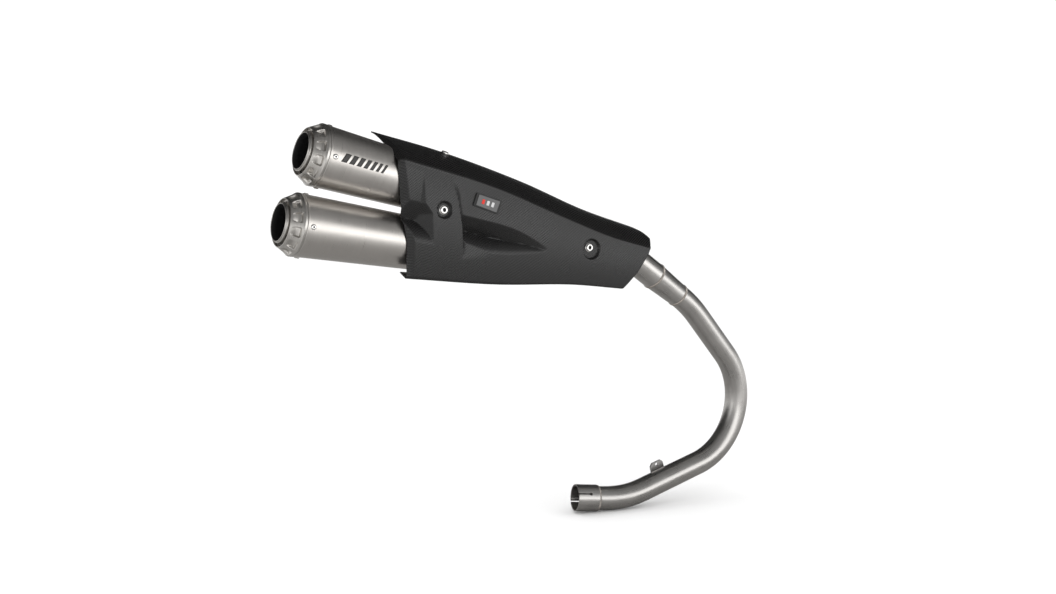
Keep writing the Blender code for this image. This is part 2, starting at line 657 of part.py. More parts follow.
def make_hanger(mats):
    """Hanger plate on the saddle's back, with its rubber bush, sleeve and screws."""
    x = SIDE_BOLTS["rear"][0]
    y = HANGER_EYE.y
    outline = [(x - 0.014, 0.518), (x + 0.020, 0.518)]
    for k in range(9):
        turn = math.radians(-100 + 190 * k / 8)
        across = HANGER_ROUND_R * math.cos(turn)
        outline.append((HANGER_EYE.x + across, HANGER_EYE.z + HANGER_ROUND_R * math.sin(turn)))
    outline.append((x - 0.014, SADDLE_Z[1]))
    plate = prism("hanger_plate", outline, HANGER_THICKNESS, mats["steel"])
    plate.location = (0, y, 0)
    eye = bolt_hole("hanger_eye", HANGER_EYE - Vector((0, 0.002, 0)), (0, 1, 0), 0.010, HANGER_EYE_R)
    boolean(plate, eye, "DIFFERENCE")
    for i, screw_z in enumerate(HANGER_SCREW_Z):
        hole = bolt_hole(f"hanger_hole_{i + 1}", (x, y - 0.002, screw_z), (0, 1, 0), 0.010)
        boolean(plate, hole, "DIFFERENCE")
        seat = (x, y + HANGER_THICKNESS, screw_z)
        make_bolt(f"hanger_screw_{i + 1}", seat, (0, -1, 0), 0.010, mats, head_r=0.006)
    middle = HANGER_EYE + Vector((0, HANGER_THICKNESS / 2, 0))
    place(turned("hanger_bush", HANGER_BUSH, 24, mats["rubber"]), middle, (0, 1, 0))
    place(turned("hanger_sleeve", HANGER_SLEEVE, 24, mats["bolt"]), middle, (0, 1, 0))


def recess_back(which):
    """Y of the back of a side bolt's recess cup."""
    x = SIDE_BOLTS[which][0]
    return along(SHIELD_SIDE_Y, x) + RECESS_DEPTH + SHIELD_SKIN


def make_shield(mats):
    """Heat shield: one folded skin, its two bolt recesses and its bolt holes."""
    rows = len(shield_section(0))
    rear, front = SHIELD_LIP[0][0], SHIELD_LIP[-1][0]
    stations = [rear, rear + 0.023, rear + 0.046, BAND_X[0], sum(BAND_X) / 2, BAND_X[1], BAND_X[1] + 0.004]
    stations += [front - 0.385 + 0.0275 * i for i in range(15)]
    bm = bmesh.new()
    grid = [[bm.verts.new(shield_point(x, row)) for row in range(rows)] for x in stations]
    for a, b in zip(grid, grid[1:]):
        for row in range(rows - 1):
            bm.faces.new((a[row], a[row + 1], b[row + 1], b[row]))
    shield = add_object("heat_shield", bm, mats["carbon"])
    if shield.data.polygons[rows].normal.y > 0:
        shield.data.flip_normals()
    skin = shield.modifiers.new("skin", "SOLIDIFY")
    skin.thickness = SHIELD_SKIN
    skin.offset = -1.0
    seat, normal = shield_normal(*TOP_BOLT)
    boolean(shield, bolt_hole("top_hole", seat + normal * 0.004, -normal, 0.010), "DIFFERENCE")
    for which, (x, z) in SIDE_BOLTS.items():
        outer = along(SHIELD_SIDE_Y, x)
        back = recess_back(which)
        mouth = (x, outer + CUP_INSET, z)
        depth = back - outer - CUP_INSET
        cup = bolt_hole(f"recess_cup_{which}", mouth, (0, 1, 0), depth, RECESS_R + SHIELD_SKIN)
        boolean(shield, cup, "UNION")
        start = (x, outer - 0.004, z)
        hollow = bolt_hole(f"recess_{which}", start, (0, 1, 0), RECESS_DEPTH + 0.004, RECESS_R)
        boolean(shield, hollow, "DIFFERENCE")
        boolean(shield, bolt_hole(f"recess_hole_{which}", (x, outer, z), (0, 1, 0), 0.012), "DIFFERENCE")
        make_bolt(f"shield_bolt_{which}", (x, outer + RECESS_DEPTH, z), (0, 1, 0), 0.014, mats)
        bush = turned(f"shield_bush_{which}", SHIELD_BUSH, POST_SIDES, mats["rubber"])
        place(bush, (x, back + GAP, z), (0, 1, 0))


def make_front_boss(mats):
    """Post on the collector that takes the shield's front bolt."""
    x, z = SIDE_BOLTS["front"]
    front = recess_back("front") + BUSH_SPACE
    boss = turned("front_boss", FRONT_POST, POST_SIDES, mats["steel"], closed=False)
    place(boss, (x, front, z), (0, 1, 0))
    for tool in collector_tools("boss_cut", CUT_GAP, 0):
        boolean(boss, tool, "DIFFERENCE")
    boolean(boss, bolt_hole("boss_hole", (x, front - 0.001, z), (0, 1, 0), 0.0125), "DIFFERENCE")


def make_top_fixing(mats):
    """Bolt through the shield's top panel into a post on the upper can."""
    seat, normal = shield_normal(*TOP_BOLT)
    make_bolt("shield_bolt_top", seat + normal * 0.0006, -normal, 0.018, mats, head_r=0.0075)
    post = turned("top_boss", TOP_POST, POST_SIDES, mats["steel"], closed=False)
    place(post, seat, -normal)
    boolean(post, can_tool("top_boss_cut", "upper"), "DIFFERENCE")
    boolean(post, bolt_hole("top_boss_hole", seat, -normal, 0.0195), "DIFFERENCE")


def make_badge(mats):
    """Small slanted plate on the shield's side."""
    badge = prism("shield_badge", BADGE_CORNERS, -BADGE_THICKNESS, mats["badge"])
    badge.location = (0, along(SHIELD_SIDE_Y, BADGE_CORNERS[-1][0]) - CUT_GAP, 0)


def make_pipe_tab(mats):
    """Small lug on the far side of the link pipe's lower run."""
    run = (CORNER_LOOP - CORNER_LOW).normalized()
    foot = CORNER_LOW + run * TAB_ALONG
    tab = prism("pipe_tab", TAB_OUTLINE, TAB_THICKNESS, mats["steel"])
    tab.rotation_euler = (0, -math.atan2(run.z, run.x), 0)
    tab.location = foot + Vector((0, 0.014, 0))
    rod = cutter(swept("tab_cut", [foot - run * 0.04, foot + run * 0.04], (PIPE_OD / 2 + CUT_GAP, 0), None))
    boolean(tab, rod, "DIFFERENCE")
    up = Vector((-run.z, 0, run.x))
    start = foot + up * TAB_HOLE_HEIGHT + Vector((0, 0.010, 0))
    hole = bolt_hole("tab_hole", start, (0, 1, 0), 0.012, TAB_HOLE_R)
    boolean(tab, hole, "DIFFERENCE")


def main():
    for obj in list(bpy.data.objects):
        bpy.data.objects.remove(obj)
    mats = make_materials()
    make_pipe(mats)
    make_collector(mats)
    for which in CAN_REAR:
        make_can(which, mats)
    make_shield(mats)
    make_saddle(mats)
    make_hanger(mats)
    make_front_boss(mats)
    make_top_fixing(mats)
    make_badge(mats)
    make_pipe_tab(mats)


main()
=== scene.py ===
"""Looks of the racing exhaust: fine surfaces, finishes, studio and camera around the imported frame."""

import json
import math

import bmesh
import bpy
from mathutils import Matrix, Vector


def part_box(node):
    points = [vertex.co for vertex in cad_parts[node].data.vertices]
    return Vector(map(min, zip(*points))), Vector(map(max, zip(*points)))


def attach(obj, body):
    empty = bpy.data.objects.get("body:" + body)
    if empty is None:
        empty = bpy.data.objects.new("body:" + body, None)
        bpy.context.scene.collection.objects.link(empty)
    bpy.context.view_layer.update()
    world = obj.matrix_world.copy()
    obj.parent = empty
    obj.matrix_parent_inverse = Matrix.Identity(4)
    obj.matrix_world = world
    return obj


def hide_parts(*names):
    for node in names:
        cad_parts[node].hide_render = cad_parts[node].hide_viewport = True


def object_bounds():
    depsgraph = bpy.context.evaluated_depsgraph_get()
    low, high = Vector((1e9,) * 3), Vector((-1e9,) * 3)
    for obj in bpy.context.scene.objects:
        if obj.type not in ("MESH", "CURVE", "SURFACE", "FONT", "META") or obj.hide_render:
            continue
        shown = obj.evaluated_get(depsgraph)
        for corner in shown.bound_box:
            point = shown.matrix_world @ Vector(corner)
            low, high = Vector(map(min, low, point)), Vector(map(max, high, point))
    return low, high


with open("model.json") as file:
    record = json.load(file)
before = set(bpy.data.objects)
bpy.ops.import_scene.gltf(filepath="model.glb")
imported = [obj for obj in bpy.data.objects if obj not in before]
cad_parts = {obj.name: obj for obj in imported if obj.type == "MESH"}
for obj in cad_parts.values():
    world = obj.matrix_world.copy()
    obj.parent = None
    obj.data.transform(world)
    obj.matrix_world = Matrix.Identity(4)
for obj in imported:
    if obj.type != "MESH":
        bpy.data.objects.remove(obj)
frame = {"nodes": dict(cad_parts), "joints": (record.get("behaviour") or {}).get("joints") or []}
cad_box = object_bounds()

# Tubes and their route, in metres: corners of the centre line and radius of each bend.
# PIPE_R is a little under the CAD tube's, which keeps the fine pipe inside the CAD's box.
PLANE_Y = -0.026
PIPE_R = 0.0222
INLET_R = 0.0255
BRANCH_R = 0.023
TUBE_WALL = 0.0015
SOCKET_R = 0.025
SOCKET_BORE_R = 0.0231
SOCKET_LENGTH = 0.042
SOCKET_OVERLAP = 0.006
SOCKET_MOUTH = Vector((0.0, 0.0, 0.0))
CORNER_LOW = Vector((0.096, PLANE_Y, -0.009))
CORNER_LOOP = Vector((0.474, PLANE_Y, 0.091))
CORNER_TOP = Vector((0.248, PLANE_Y, 0.351))
CORNER_INLET = Vector((0.090, PLANE_Y, 0.4595))
JUNCTION = Vector((-0.030, PLANE_Y, 0.474))
BENDS = (0.190, 0.130, 0.235)
BEND_INLET = 0.120
BEND_BRANCH = 0.070
REDUCER_START = 0.036
REDUCER_LENGTH = 0.069
STUB_LENGTH = 0.050
SLOT_COUNT = 4
SLOT_TURN = math.radians(60)
SLOT_WIDTH = 0.0024
SLOT_LENGTH = 0.024
SLOT_HOLE_R = 0.0028
TUBE_END_ROUND = 0.0005
PIPE_SIDES = 72

# Silencers, along each can's own axis from its rear edge
CAN_LENGTH = 0.300
CAN_REAR_R = 0.051
CAN_FRONT_R = 0.042
CAN_WALL = 0.001
CAN_SIDES = 144
RIVET_COUNT = 4
RIVET_X = 0.010
FRONT_CAP_X = 0.345
WINDOW_COUNT = 12
WINDOW_FLOOR_R = 0.0412
WINDOW_DEPTH = 0.0046
WINDOW_BASE_X = -0.0072
WINDOW_RIM_X = -0.0222
SCREW_ANGLE = math.radians(-50)
SCREW_RADIUS = 0.0353
STRIPE_COUNT = 7
STRIPE_START = 0.024
STRIPE_WIDTH = 0.0100
STRIPE_NARROWING = 0.0009
STRIPE_GAP = 0.0042
STRIPE_TALL = 0.015
STRIPE_SLANT = 0.45
STRIPE_CLEAR = 0.00012
STRIPE_FILM = 0.00010

# Heat shield: (x, z) points of the edges that run along it, rear to front
SKIN = 0.0022
LIP = ((-0.403, 0.676), (-0.275, 0.643), (-0.115, 0.590), (0.015, 0.538), (0.125, 0.503))
CREASE = ((-0.398, 0.633), (-0.220, 0.584), (-0.070, 0.528), (0.030, 0.492), (0.113, 0.470))
BOTTOM = ((-0.382, 0.435), (-0.210, 0.4165), (-0.050, 0.408), (0.050, 0.396))
UNDERLIP_RISE = 0.008
SIDE_Y = (-0.086, -0.072)
LIP_Y = (0.012, -0.004)
SHIELD_X = (-0.403, 0.125)
# The top panel is sampled over its first TOP_SHARE and the side over SIDE_SPAN from SIDE_START;
# the folds between them are rounded
TOP_SHARE = 0.955
SIDE_START = 0.022
SIDE_SPAN = 0.950
SHIELD_COLUMNS = 300
TOP_ROWS = 34
SIDE_ROWS = 112
LIP_ROWS = 16
FOLD_STEPS = 6
TOP_CHAMFER = 0.0105
CROWN = 0.006
UNDERLIP_Y = -0.047
# Ends of the shield: (share down the panel or side, x)
REAR_TOP_END = ((0.0, -0.403), (1.0, -0.398))
REAR_SIDE_END = (
    (0.0, -0.398), (0.07, -0.398), (0.35, -0.392), (0.5, -0.388), (0.70, -0.382), (1.0, -0.382),
)
FRONT_TOP_END = ((0.0, 0.120), (0.25, 0.131), (0.6, 0.135), (1.0, 0.119))
FRONT_SIDE_END = ((0.0, 0.119), (0.18, 0.112), (0.62, 0.088), (0.9, 0.066), (1.0, 0.057))
# Lines across the shield: (z, x)
CHAMFER_LINE = ((0.44, -0.3705), (0.563, -0.371), (0.620, -0.3875), (0.640, -0.3875))
BAND_REAR = (
    (0.440, -0.3387), (0.4929, -0.3367), (0.5405, -0.3390), (0.5582, -0.3518), (0.6154, -0.3539),
)
BAND_FRONT = (
    (0.4616, -0.2820), (0.4870, -0.2807), (0.5240, -0.2840), (0.5673, -0.2910), (0.6005, -0.3005),
)
BAND_STEP = 0.0026
CHAMFER_SLOPE = 0.75
# Groove: (x, z) points of its top edge, floor and bottom edge, behind and ahead of the band
GROOVE_DEPTH = 0.020
FACET_DEPTH = 0.006
FOOT_SLOPE = 0.12
REAR_TOP = ((-0.392, 0.5665), (-0.3526, 0.5587))
REAR_FLOOR = ((-0.392, 0.537), (-0.374, 0.532))
REAR_BOTTOM = ((-0.392, 0.4995), (-0.3457, 0.4917))
REAR_WALL_SLOPE = 0.8
FRONT_TOP = ((-0.2827, 0.5417), (-0.2355, 0.527), (-0.1838, 0.512), (-0.1544, 0.4994), (-0.112, 0.476))
FRONT_FLOOR = ((-0.2805, 0.5126), (-0.224, 0.4977), (-0.166, 0.486), (-0.112, 0.4715))
FRONT_BOTTOM = ((-0.279, 0.4805), (-0.224, 0.4705), (-0.178, 0.4673), (-0.112, 0.469))
GROOVE_TIP = -0.112
RECESSES = {"rear": (-0.317, 0.5465, 0.0150), "front": (-0.0165, 0.4705, 0.0190)}
RECESS_DEPTH = 0.005
BOLT_SHANK_R = 0.003
TOP_BOLT = (-0.278, -0.012)
BADGE = ((-0.252, 0.5725), (-0.2085, 0.559), (-0.217, 0.539), (-0.259, 0.5535))

# Camera and studio
CAMERA_AT = (-1.33577, -1.97238, 0.62769)
CAMERA_AZIMUTH = math.radians(-32)
CAMERA_TILT = math.radians(6)
CAMERA_LENS = 44.318


# ---- node helpers


class Nodes:
    """Short forms for building one node tree."""

    def __init__(self, tree):
        """Helper for one tree."""
        self.tree = tree

    def add(self, kind, inputs=(), **settings):
        """A node of a kind, with settings and with (socket, value or output) inputs."""
        node = self.tree.nodes.new(kind)
        for key, value in settings.items():
            setattr(node, key, value)
        for socket, value in inputs:
            if isinstance(value, bpy.types.NodeSocket):
                self.tree.links.new(value, node.inputs[socket])
            else:
                node.inputs[socket].default_value = value
        return node

    def math(self, operation, *values):
        """Output of a Math node."""
        return self.add("ShaderNodeMath", list(enumerate(values)), operation=operation).outputs[0]

    def noise(self, vector, scale, detail=2.0, roughness=0.5):
        """Output of a noise texture."""
        inputs = [("Vector", vector), ("Scale", scale), ("Detail", detail), ("Roughness", roughness)]
        return self.add("ShaderNodeTexNoise", inputs).outputs["Fac"]

    def scaled(self, vector, scale):
        """A vector times three factors."""
        return self.add("ShaderNodeMapping", [("Vector", vector), ("Scale", scale)]).outputs[0]

    def span(self, value, low, high, start=0.0, end=1.0):
        """A value mapped from start..end to low..high, clamped."""
        inputs = [("Value", value), (1, start), (2, end), (3, low), (4, high)]
        return self.add("ShaderNodeMapRange", inputs).outputs[0]

    def mix(self, factor, first, second):
        """Output of a colour mix."""
        node = self.add("ShaderNodeMix", data_type="RGBA")
        sockets = (node.inputs[0], node.inputs[6], node.inputs[7])
        for socket, value in zip(sockets, (factor, first, second)):
            if isinstance(value, bpy.types.NodeSocket):
                self.tree.links.new(value, socket)
            else:
                socket.default_value = value if isinstance(value, float) else (*value, 1.0)
        return node.outputs[2]

    def bump(self, height, distance, strength=1.0):
        """Normal bent by a height."""
        inputs = [("Height", height), ("Distance", distance), ("Strength", strength)]
        return self.add("ShaderNodeBump", inputs).outputs[0]


def new_material(name, **constants):
    """A material, its node helper and its Principled shader with constant inputs."""
    mat = bpy.data.materials.new(name)
    mat.use_nodes = True
    shader = mat.node_tree.nodes["Principled BSDF"]
    for socket, value in constants.items():
        shader.inputs[socket.replace("_", " ")].default_value = value
    return mat, Nodes(mat.node_tree), shader


def connect(nodes, shader, **outputs):
    """Link outputs to the shader's inputs."""
    for socket, output in outputs.items():
        nodes.tree.links.new(output, shader.inputs[socket.replace("_", " ")])


def grain_vector(nodes):
    """The piece's own straightened coordinates: along its length, then across it."""
    return nodes.add("ShaderNodeAttribute", attribute_name="grain").outputs["Vector"]


def object_vector(nodes):
    """Object coordinates."""
    return nodes.add("ShaderNodeTexCoord").outputs["Object"]


# ---- materials


def metal(name, colour, rough, stretch, depth=0.00001, straight=True, mottle=0.16, heat=None):
    """Brushed metal; stretch is the grain's frequency along and across the piece."""
    mat, n, shader = new_material(name, Metallic=1.0, Specular_IOR_Level=0.5)
    vector = grain_vector(n) if straight else object_vector(n)
    brush = n.noise(n.scaled(vector, stretch), 1.0, 3.0, 0.6)
    cloud = n.noise(object_vector(n), 26.0, 4.0, 0.6)
    darker = tuple(c * (1.0 - mottle) for c in colour)
    lighter = tuple(min(1.0, c * (1.0 + 0.5 * mottle)) for c in colour)
    tone = n.mix(n.span(cloud, 0.0, 1.0, 0.3, 0.7), darker, lighter)
    streak = n.mix(n.span(brush, 0.0, 1.0, 0.3, 0.7), darker, lighter)
    colour_out = n.mix(0.5, tone, streak)
    if heat:
        warmth = n.add("ShaderNodeAttribute", attribute_name="heat").outputs["Fac"]
        amount = n.math("MULTIPLY", warmth, n.span(cloud, 0.7, 1.0, 0.3, 0.7))
        colour_out = n.mix(amount, colour_out, heat)
    fine = n.span(brush, rough - 0.05, rough + 0.07, 0.25, 0.75)
    rough_out = n.math("ADD", fine, n.span(cloud, -0.03, 0.05, 0.3, 0.7))
    connect(n, shader, Base_Color=colour_out, Roughness=rough_out, Normal=n.bump(brush, depth))
    return mat


def carbon():
    """Plain-woven carbon cloth under a thin satin lacquer; the tows' light and dark tones are painted sheen
    and painted shade.
    """
    tow = 0.0023
    lacquer = {"Coat_Weight": 0.2, "Coat_Roughness": 0.24, "Coat_IOR": 1.5}
    mat, n, shader = new_material("carbon_weave", Specular_IOR_Level=0.42, **lacquer)
    split = n.add("ShaderNodeSeparateXYZ", [(0, grain_vector(n))])
    across = n.math("DIVIDE", split.outputs[0], tow)
    down = n.math("DIVIDE", split.outputs[1], tow)
    count = n.math("ADD", n.math("FLOOR", across), n.math("FLOOR", down))
    over = n.math("LESS_THAN", n.math("FLOORED_MODULO", count, 2.0), 0.5)
    ridges = []
    for value in (across, down):
        part = n.math("FRACT", value)
        ridges.append(n.math("MULTIPLY", n.math("MULTIPLY", part, n.math("SUBTRACT", 1.0, part)), 4.0))
    flip = n.math("SUBTRACT", 1.0, over)
    height = n.math("ADD", n.math("MULTIPLY", over, ridges[0]), n.math("MULTIPLY", flip, ridges[1]))
    cloud = n.noise(object_vector(n), 9.0, 3.0)
    # painted sheen: over and under tows of the same black fibre get a lighter and a darker tone
    painted_tow_sheen = n.mix(over, (0.0008, 0.0008, 0.0009), (0.0105, 0.0102, 0.0099))
    # painted shade: each tow darkens to near-black towards its edges, where it curves down
    tow_sheen_and_shade_colour = n.mix(n.span(height, 0.0, 0.7, 0.5, 0.0), painted_tow_sheen, (0.001, 0.001, 0.001))
    rough = n.math("ADD", n.span(over, 0.46, 0.27), n.span(cloud, -0.03, 0.04, 0.3, 0.7))
    connect(n, shader, Base_Color=tow_sheen_and_shade_colour, Roughness=rough, Normal=n.bump(height, 0.00022, 0.8))
    return mat


def rough_black(name, colour, rough, grain, depth):
    """Sooted or moulded black surface with a fine random grain; the sooted one also serves as painted shade
    in holes.
    """
    mat, n, shader = new_material(name)
    fine = n.noise(object_vector(n), grain, 4.0, 0.65)
    lighter = tuple(c * 1.9 for c in colour)
    tone = n.mix(n.span(fine, 0.0, 1.0, 0.35, 0.75), colour, lighter)
    connect(n, shader, Base_Color=tone, Roughness=n.span(fine, rough - 0.1, rough + 0.08, 0.3, 0.7))
    connect(n, shader, Normal=n.bump(fine, depth))
    return mat


def wool():
    """Loose silencer wool: fibres in two directions."""
    mat, n, shader = new_material("silencer_wool", Sheen_Weight=0.3)
    fibres = n.noise(n.scaled(object_vector(n), (90, 500, 500)), 1.0, 4.0, 0.7)
    tone = n.mix(n.span(fibres, 0.0, 1.0, 0.3, 0.7), (0.55, 0.49, 0.34), (0.82, 0.77, 0.62))
    rough = n.span(fibres, 0.85, 0.98)
    connect(n, shader, Base_Color=tone, Roughness=rough, Normal=n.bump(fibres, 0.0006))
    return mat


def make_materials():
    """Every finish, by name."""
    round_grain = (900.0, 9.0, 9.0)
    long_grain = (7.0, 420.0, 420.0)
    brown = (0.13, 0.10, 0.08)
    return {
        "sleeve": metal(
            "brushed_titanium", (0.60, 0.575, 0.545), 0.31, round_grain, 0.000003, mottle=0.05
        ),
        "cap": metal("machined_titanium", (0.58, 0.56, 0.53), 0.30, (1500.0, 14.0, 14.0), 0.000008),
        "pipe": metal("drawn_tube", (0.56, 0.545, 0.525), 0.29, long_grain, 0.000012, heat=brown),
        "weld": metal("weld_bead", (0.50, 0.46, 0.42), 0.34, (40.0,) * 3, 0.00003, straight=False),
        "plate": metal("laser_cut_steel", (0.50, 0.49, 0.48), 0.36, (60.0, 60.0, 700.0), straight=False),
        "bolt": metal("bright_fastener", (0.78, 0.77, 0.75), 0.17, round_grain, 0.000004),
        "badge": metal("badge_plate", (0.10, 0.10, 0.10), 0.32, (900.0, 20.0, 20.0), straight=False),
        "bar": metal("badge_bar", (0.50, 0.50, 0.50), 0.40, (900.0, 20.0, 20.0), straight=False),
        "red_bar": metal("badge_red_bar", (0.55, 0.05, 0.04), 0.40, (900.0, 20.0, 20.0), straight=False),
        "carbon": carbon(),
        # near-black: real soot in the insert bores and core tubes, and painted shade inside bolt sockets
        # and rivet holes
        "soot": rough_black("sooted_steel", (0.006, 0.006, 0.006), 0.62, 700.0, 0.00005),
        "print": rough_black("dark_print", (0.020, 0.019, 0.018), 0.45, 1500.0, 0.00001),
        "rubber": rough_black("moulded_rubber", (0.014, 0.014, 0.014), 0.68, 1200.0, 0.00004),
        "wool": wool(),
    }


# ---- mesh helpers


def smoothstep(value, low, high):
    """0 below low, 1 above high, smooth between."""
    t = min(1.0, max(0.0, (value - low) / (high - low)))
    return t * t * (3 - 2 * t)


def straight(points, value):
    """Piecewise straight line through (value, result) points, held at its ends."""
    if value <= points[0][0]:
        return points[0][1]
    for (a, first), (b, second) in zip(points, points[1:]):
        if value <= b:
            return first + (second - first) * (value - a) / (b - a)
    return points[-1][1]


def curve(points, value):
    """Smooth curve through (value, result) points, straight past its ends."""
    if value <= points[0][0] or value >= points[-1][0] or len(points) == 2:
        (x0, z0), (x1, z1) = points[:2] if value < points[1][0] else points[-2:]
        return z0 + (z1 - z0) * (value - x0) / (x1 - x0)
    slopes = [(b[1] - a[1]) / (b[0] - a[0]) for a, b in zip(points, points[1:])]
    tangents = [slopes[0], *((a + b) / 2 for a, b in zip(slopes, slopes[1:])), slopes[-1]]
    i = max(k for k in range(len(points) - 1) if points[k][0] <= value)
    (x0, z0), (x1, z1) = points[i : i + 2]
    t = (value - x0) / (x1 - x0)
    rise = (z1 - z0) * (3 * t**2 - 2 * t**3)
    leave = tangents[i] * (x1 - x0) * (t**3 - 2 * t**2 + t)
    arrive = tangents[i + 1] * (x1 - x0) * (t**3 - t**2)
    return z0 + rise + leave + arrive


def fillet(points, radius, steps=3, closed=True):
    """Round every corner of a 2-D outline, each no wider than its sides allow."""
    corners = [Vector(p) for p in points]
    count = len(corners)
    rounded = []
    for i, corner in enumerate(corners):
        if not closed and i in (0, count - 1):
            rounded.append(corner)
            continue
        back = corners[i - 1] - corner
        ahead = corners[(i + 1) % count] - corner
        reach = min(radius, 0.45 * back.length, 0.45 * ahead.length)
        start = corner + back.normalized() * reach
        end = corner + ahead.normalized() * reach
        for k in range(steps + 1):
            t = k / steps
            rounded.append(start * (1 - t) ** 2 + corner * 2 * t * (1 - t) + end * t**2)
    return [tuple(p) for p in rounded]


def rounded_path(corners, radii, step=math.radians(2.5)):
    """Points of a line through corners, each inner corner turned on its radius."""
    points = [corners[0]]
    for before, corner, after, radius in zip(corners, corners[1:], corners[2:], radii):
        back = (before - corner).normalized()
        ahead = (after - corner).normalized()
        turn = math.pi - back.angle(ahead)
        tangent = radius * math.tan(turn / 2)
        middle = corner + (back + ahead).normalized() * (radius / math.cos(turn / 2))
        first = (corner + back * tangent - middle).normalized()
        last = (corner + ahead * tangent - middle).normalized()
        pieces = max(2, round(turn / step))
        for i in range(pieces + 1):
            points.append(middle + first.slerp(last, i / pieces) * radius)
    points.append(corners[-1])
    return points


class Path:
    """A centre line that gives its point and cross axes at any length along it."""

    def __init__(self, points):
        """Path through points, its side axis kept near y."""
        self.points = points
        self.lengths = [0.0]
        for a, b in zip(points, points[1:]):
            self.lengths.append(self.lengths[-1] + (b - a).length)
        self.axes = []
        side = Vector((0, 1, 0))
        for i in range(len(points)):
            ahead = (points[min(i + 1, len(points) - 1)] - points[max(i - 1, 0)]).normalized()
            side = (side - ahead * side.dot(ahead)).normalized()
            self.axes.append((side.copy(), ahead.cross(side)))

    @property
    def length(self):
        """Length of the whole line."""
        return self.lengths[-1]

    def at(self, s):
        """Centre, side and up at length s, straight past both ends."""
        last = len(self.points) - 2
        i = max([0, *(k for k in range(last + 1) if self.lengths[k] <= s)])
        t = (s - self.lengths[i]) / (self.lengths[i + 1] - self.lengths[i])
        centre = self.points[i].lerp(self.points[i + 1], t)
        blend = min(1.0, max(0.0, t))
        side = self.axes[i][0].lerp(self.axes[i + 1][0], blend).normalized()
        up = self.axes[i][1].lerp(self.axes[i + 1][1], blend).normalized()
        return centre, side, up


X_AXIS = Path([Vector((0, 0, 0)), Vector((1, 0, 0))])


def new_object(name, data):
    """A new object in the scene."""
    obj = bpy.data.objects.new(name, data)
    bpy.context.scene.collection.objects.link(obj)
    return obj


def finish_piece(name, mesh, mats, body, stands_for, matrix=None):
    """Link a mesh as a piece, put it in place and tie it to its body and node."""
    for mat in mats:
        mesh.materials.append(mat)
    if matrix is not None:
        mesh.transform(matrix)
    mesh.shade_smooth()
    mesh.set_sharp_from_angle(angle=math.radians(38))
    obj = new_object(name, mesh)
    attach(obj, body)
    if stands_for:
        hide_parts(*stands_for)
    return obj


def fine_piece(node, mesh, mats, matrix=None, body="system"):
    """The fine piece drawn in place of one CAD node."""
    return finish_piece(f"{node}_fine", mesh, mats, body, [node], matrix)


def grid_faces(columns, rows, first=0):
    """Quads between columns of points that follow each other from a first index."""
    faces = []
    for c in range(columns - 1):
        for r in range(rows - 1):
            a = first + c * rows + r
            faces.append((a, a + 1, a + rows + 1, a + rows))
    return faces


def ring_mesh(name, rows, closed, grain=None, heat=None):
    """Mesh of quads between rows; each row is a closed ring of points or one end point."""
    starts, points = [], []
    for row in rows:
        starts.append(len(points))
        points += row
    faces = []
    pairs = list(zip(range(len(rows)), range(1, len(rows))))
    if closed:
        pairs.append((len(rows) - 1, 0))
    for a, b in pairs:
        count = max(len(rows[a]), len(rows[b]))
        for k in range(count):
            n = (k + 1) % count
            first = [starts[a] + k, starts[a] + n] if len(rows[a]) > 1 else [starts[a]]
            second = [starts[b] + n, starts[b] + k] if len(rows[b]) > 1 else [starts[b]]
            faces.append(first + second)
    mesh = bpy.data.meshes.new(name)
    mesh.from_pydata(points, [], faces)
    if grain:
        layer = mesh.attributes.new("grain", "FLOAT_VECTOR", "POINT")
        layer.data.foreach_set("vector", [c for row in grain for p in row for c in p])
    if heat:
        layer = mesh.attributes.new("heat", "FLOAT", "POINT")
        layer.data.foreach_set("value", [value for row in heat for value in row])
    return mesh


def outward(mesh):
    """Turn all faces of a closed mesh to point out."""
    bm = bmesh.new()
    bm.from_mesh(mesh)
    bmesh.ops.recalc_face_normals(bm, faces=bm.faces)
    bm.to_mesh(mesh)
    bm.free()
    return mesh


def hexagon(turn):
    """Radius factor that turns a circle into a hexagon with a corner at turn 0."""
    return math.cos(math.pi / 6) / math.cos((turn % (math.pi / 3)) - math.pi / 6)


def revolved(name, profile, path=X_AXIS, sides=PIPE_SIDES, closed=True, hot=(), hexed=0):
    """Mesh of (s, radius) points swept round a path; the last hexed points are hexagonal."""
    rows, grain, heat = [], [], []
    for i, (s, radius) in enumerate(profile):
        centre, side, up = path.at(s)
        warmth = min(1.0, sum(math.exp(-(((s - spot) / width) ** 2)) for spot, width in hot))
        if radius <= 0:
            rows.append([centre])
            grain.append([(s, 0.0, 0.0)])
            heat.append([warmth])
            continue
        row, row_grain = [], []
        for k in range(sides):
            turn = 2 * math.pi * k / sides
            r = radius * (hexagon(turn) if i >= len(profile) - hexed else 1.0)
            row.append(centre + side * (r * math.cos(turn)) + up * (r * math.sin(turn)))
            row_grain.append((s, r * math.cos(turn), r * math.sin(turn)))
        rows.append(row)
        grain.append(row_grain)
        heat.append([warmth] * sides)
    return outward(ring_mesh(name, rows, closed, grain, heat))


def along_tube(length, outer, inner, step, edge=0.0004, outer_end=None, inner_end=None):
    """Closed (s, radius) profile of a tube, with small rounded ends and points every step."""
    outer_end = outer if outer_end is None else outer_end
    inner_end = inner if inner_end is None else inner_end
    corners = [(0.0, outer), (length, outer_end), (length, inner_end), (0.0, inner)]
    rounded = fillet(corners, edge)
    profile = []
    for a, b in zip(rounded, rounded[1:] + rounded[:1]):
        pieces = max(1, round(abs(b[0] - a[0]) / step))
        profile += [tuple(Vector(a).lerp(Vector(b), k / pieces)) for k in range(pieces)]
    return profile


def frame_matrix(location, direction):
    """Matrix that puts local +x along a direction at a location."""
    turn = Vector((1, 0, 0)).rotation_difference(Vector(direction))
    return Matrix.Translation(location) @ turn.to_matrix().to_4x4()


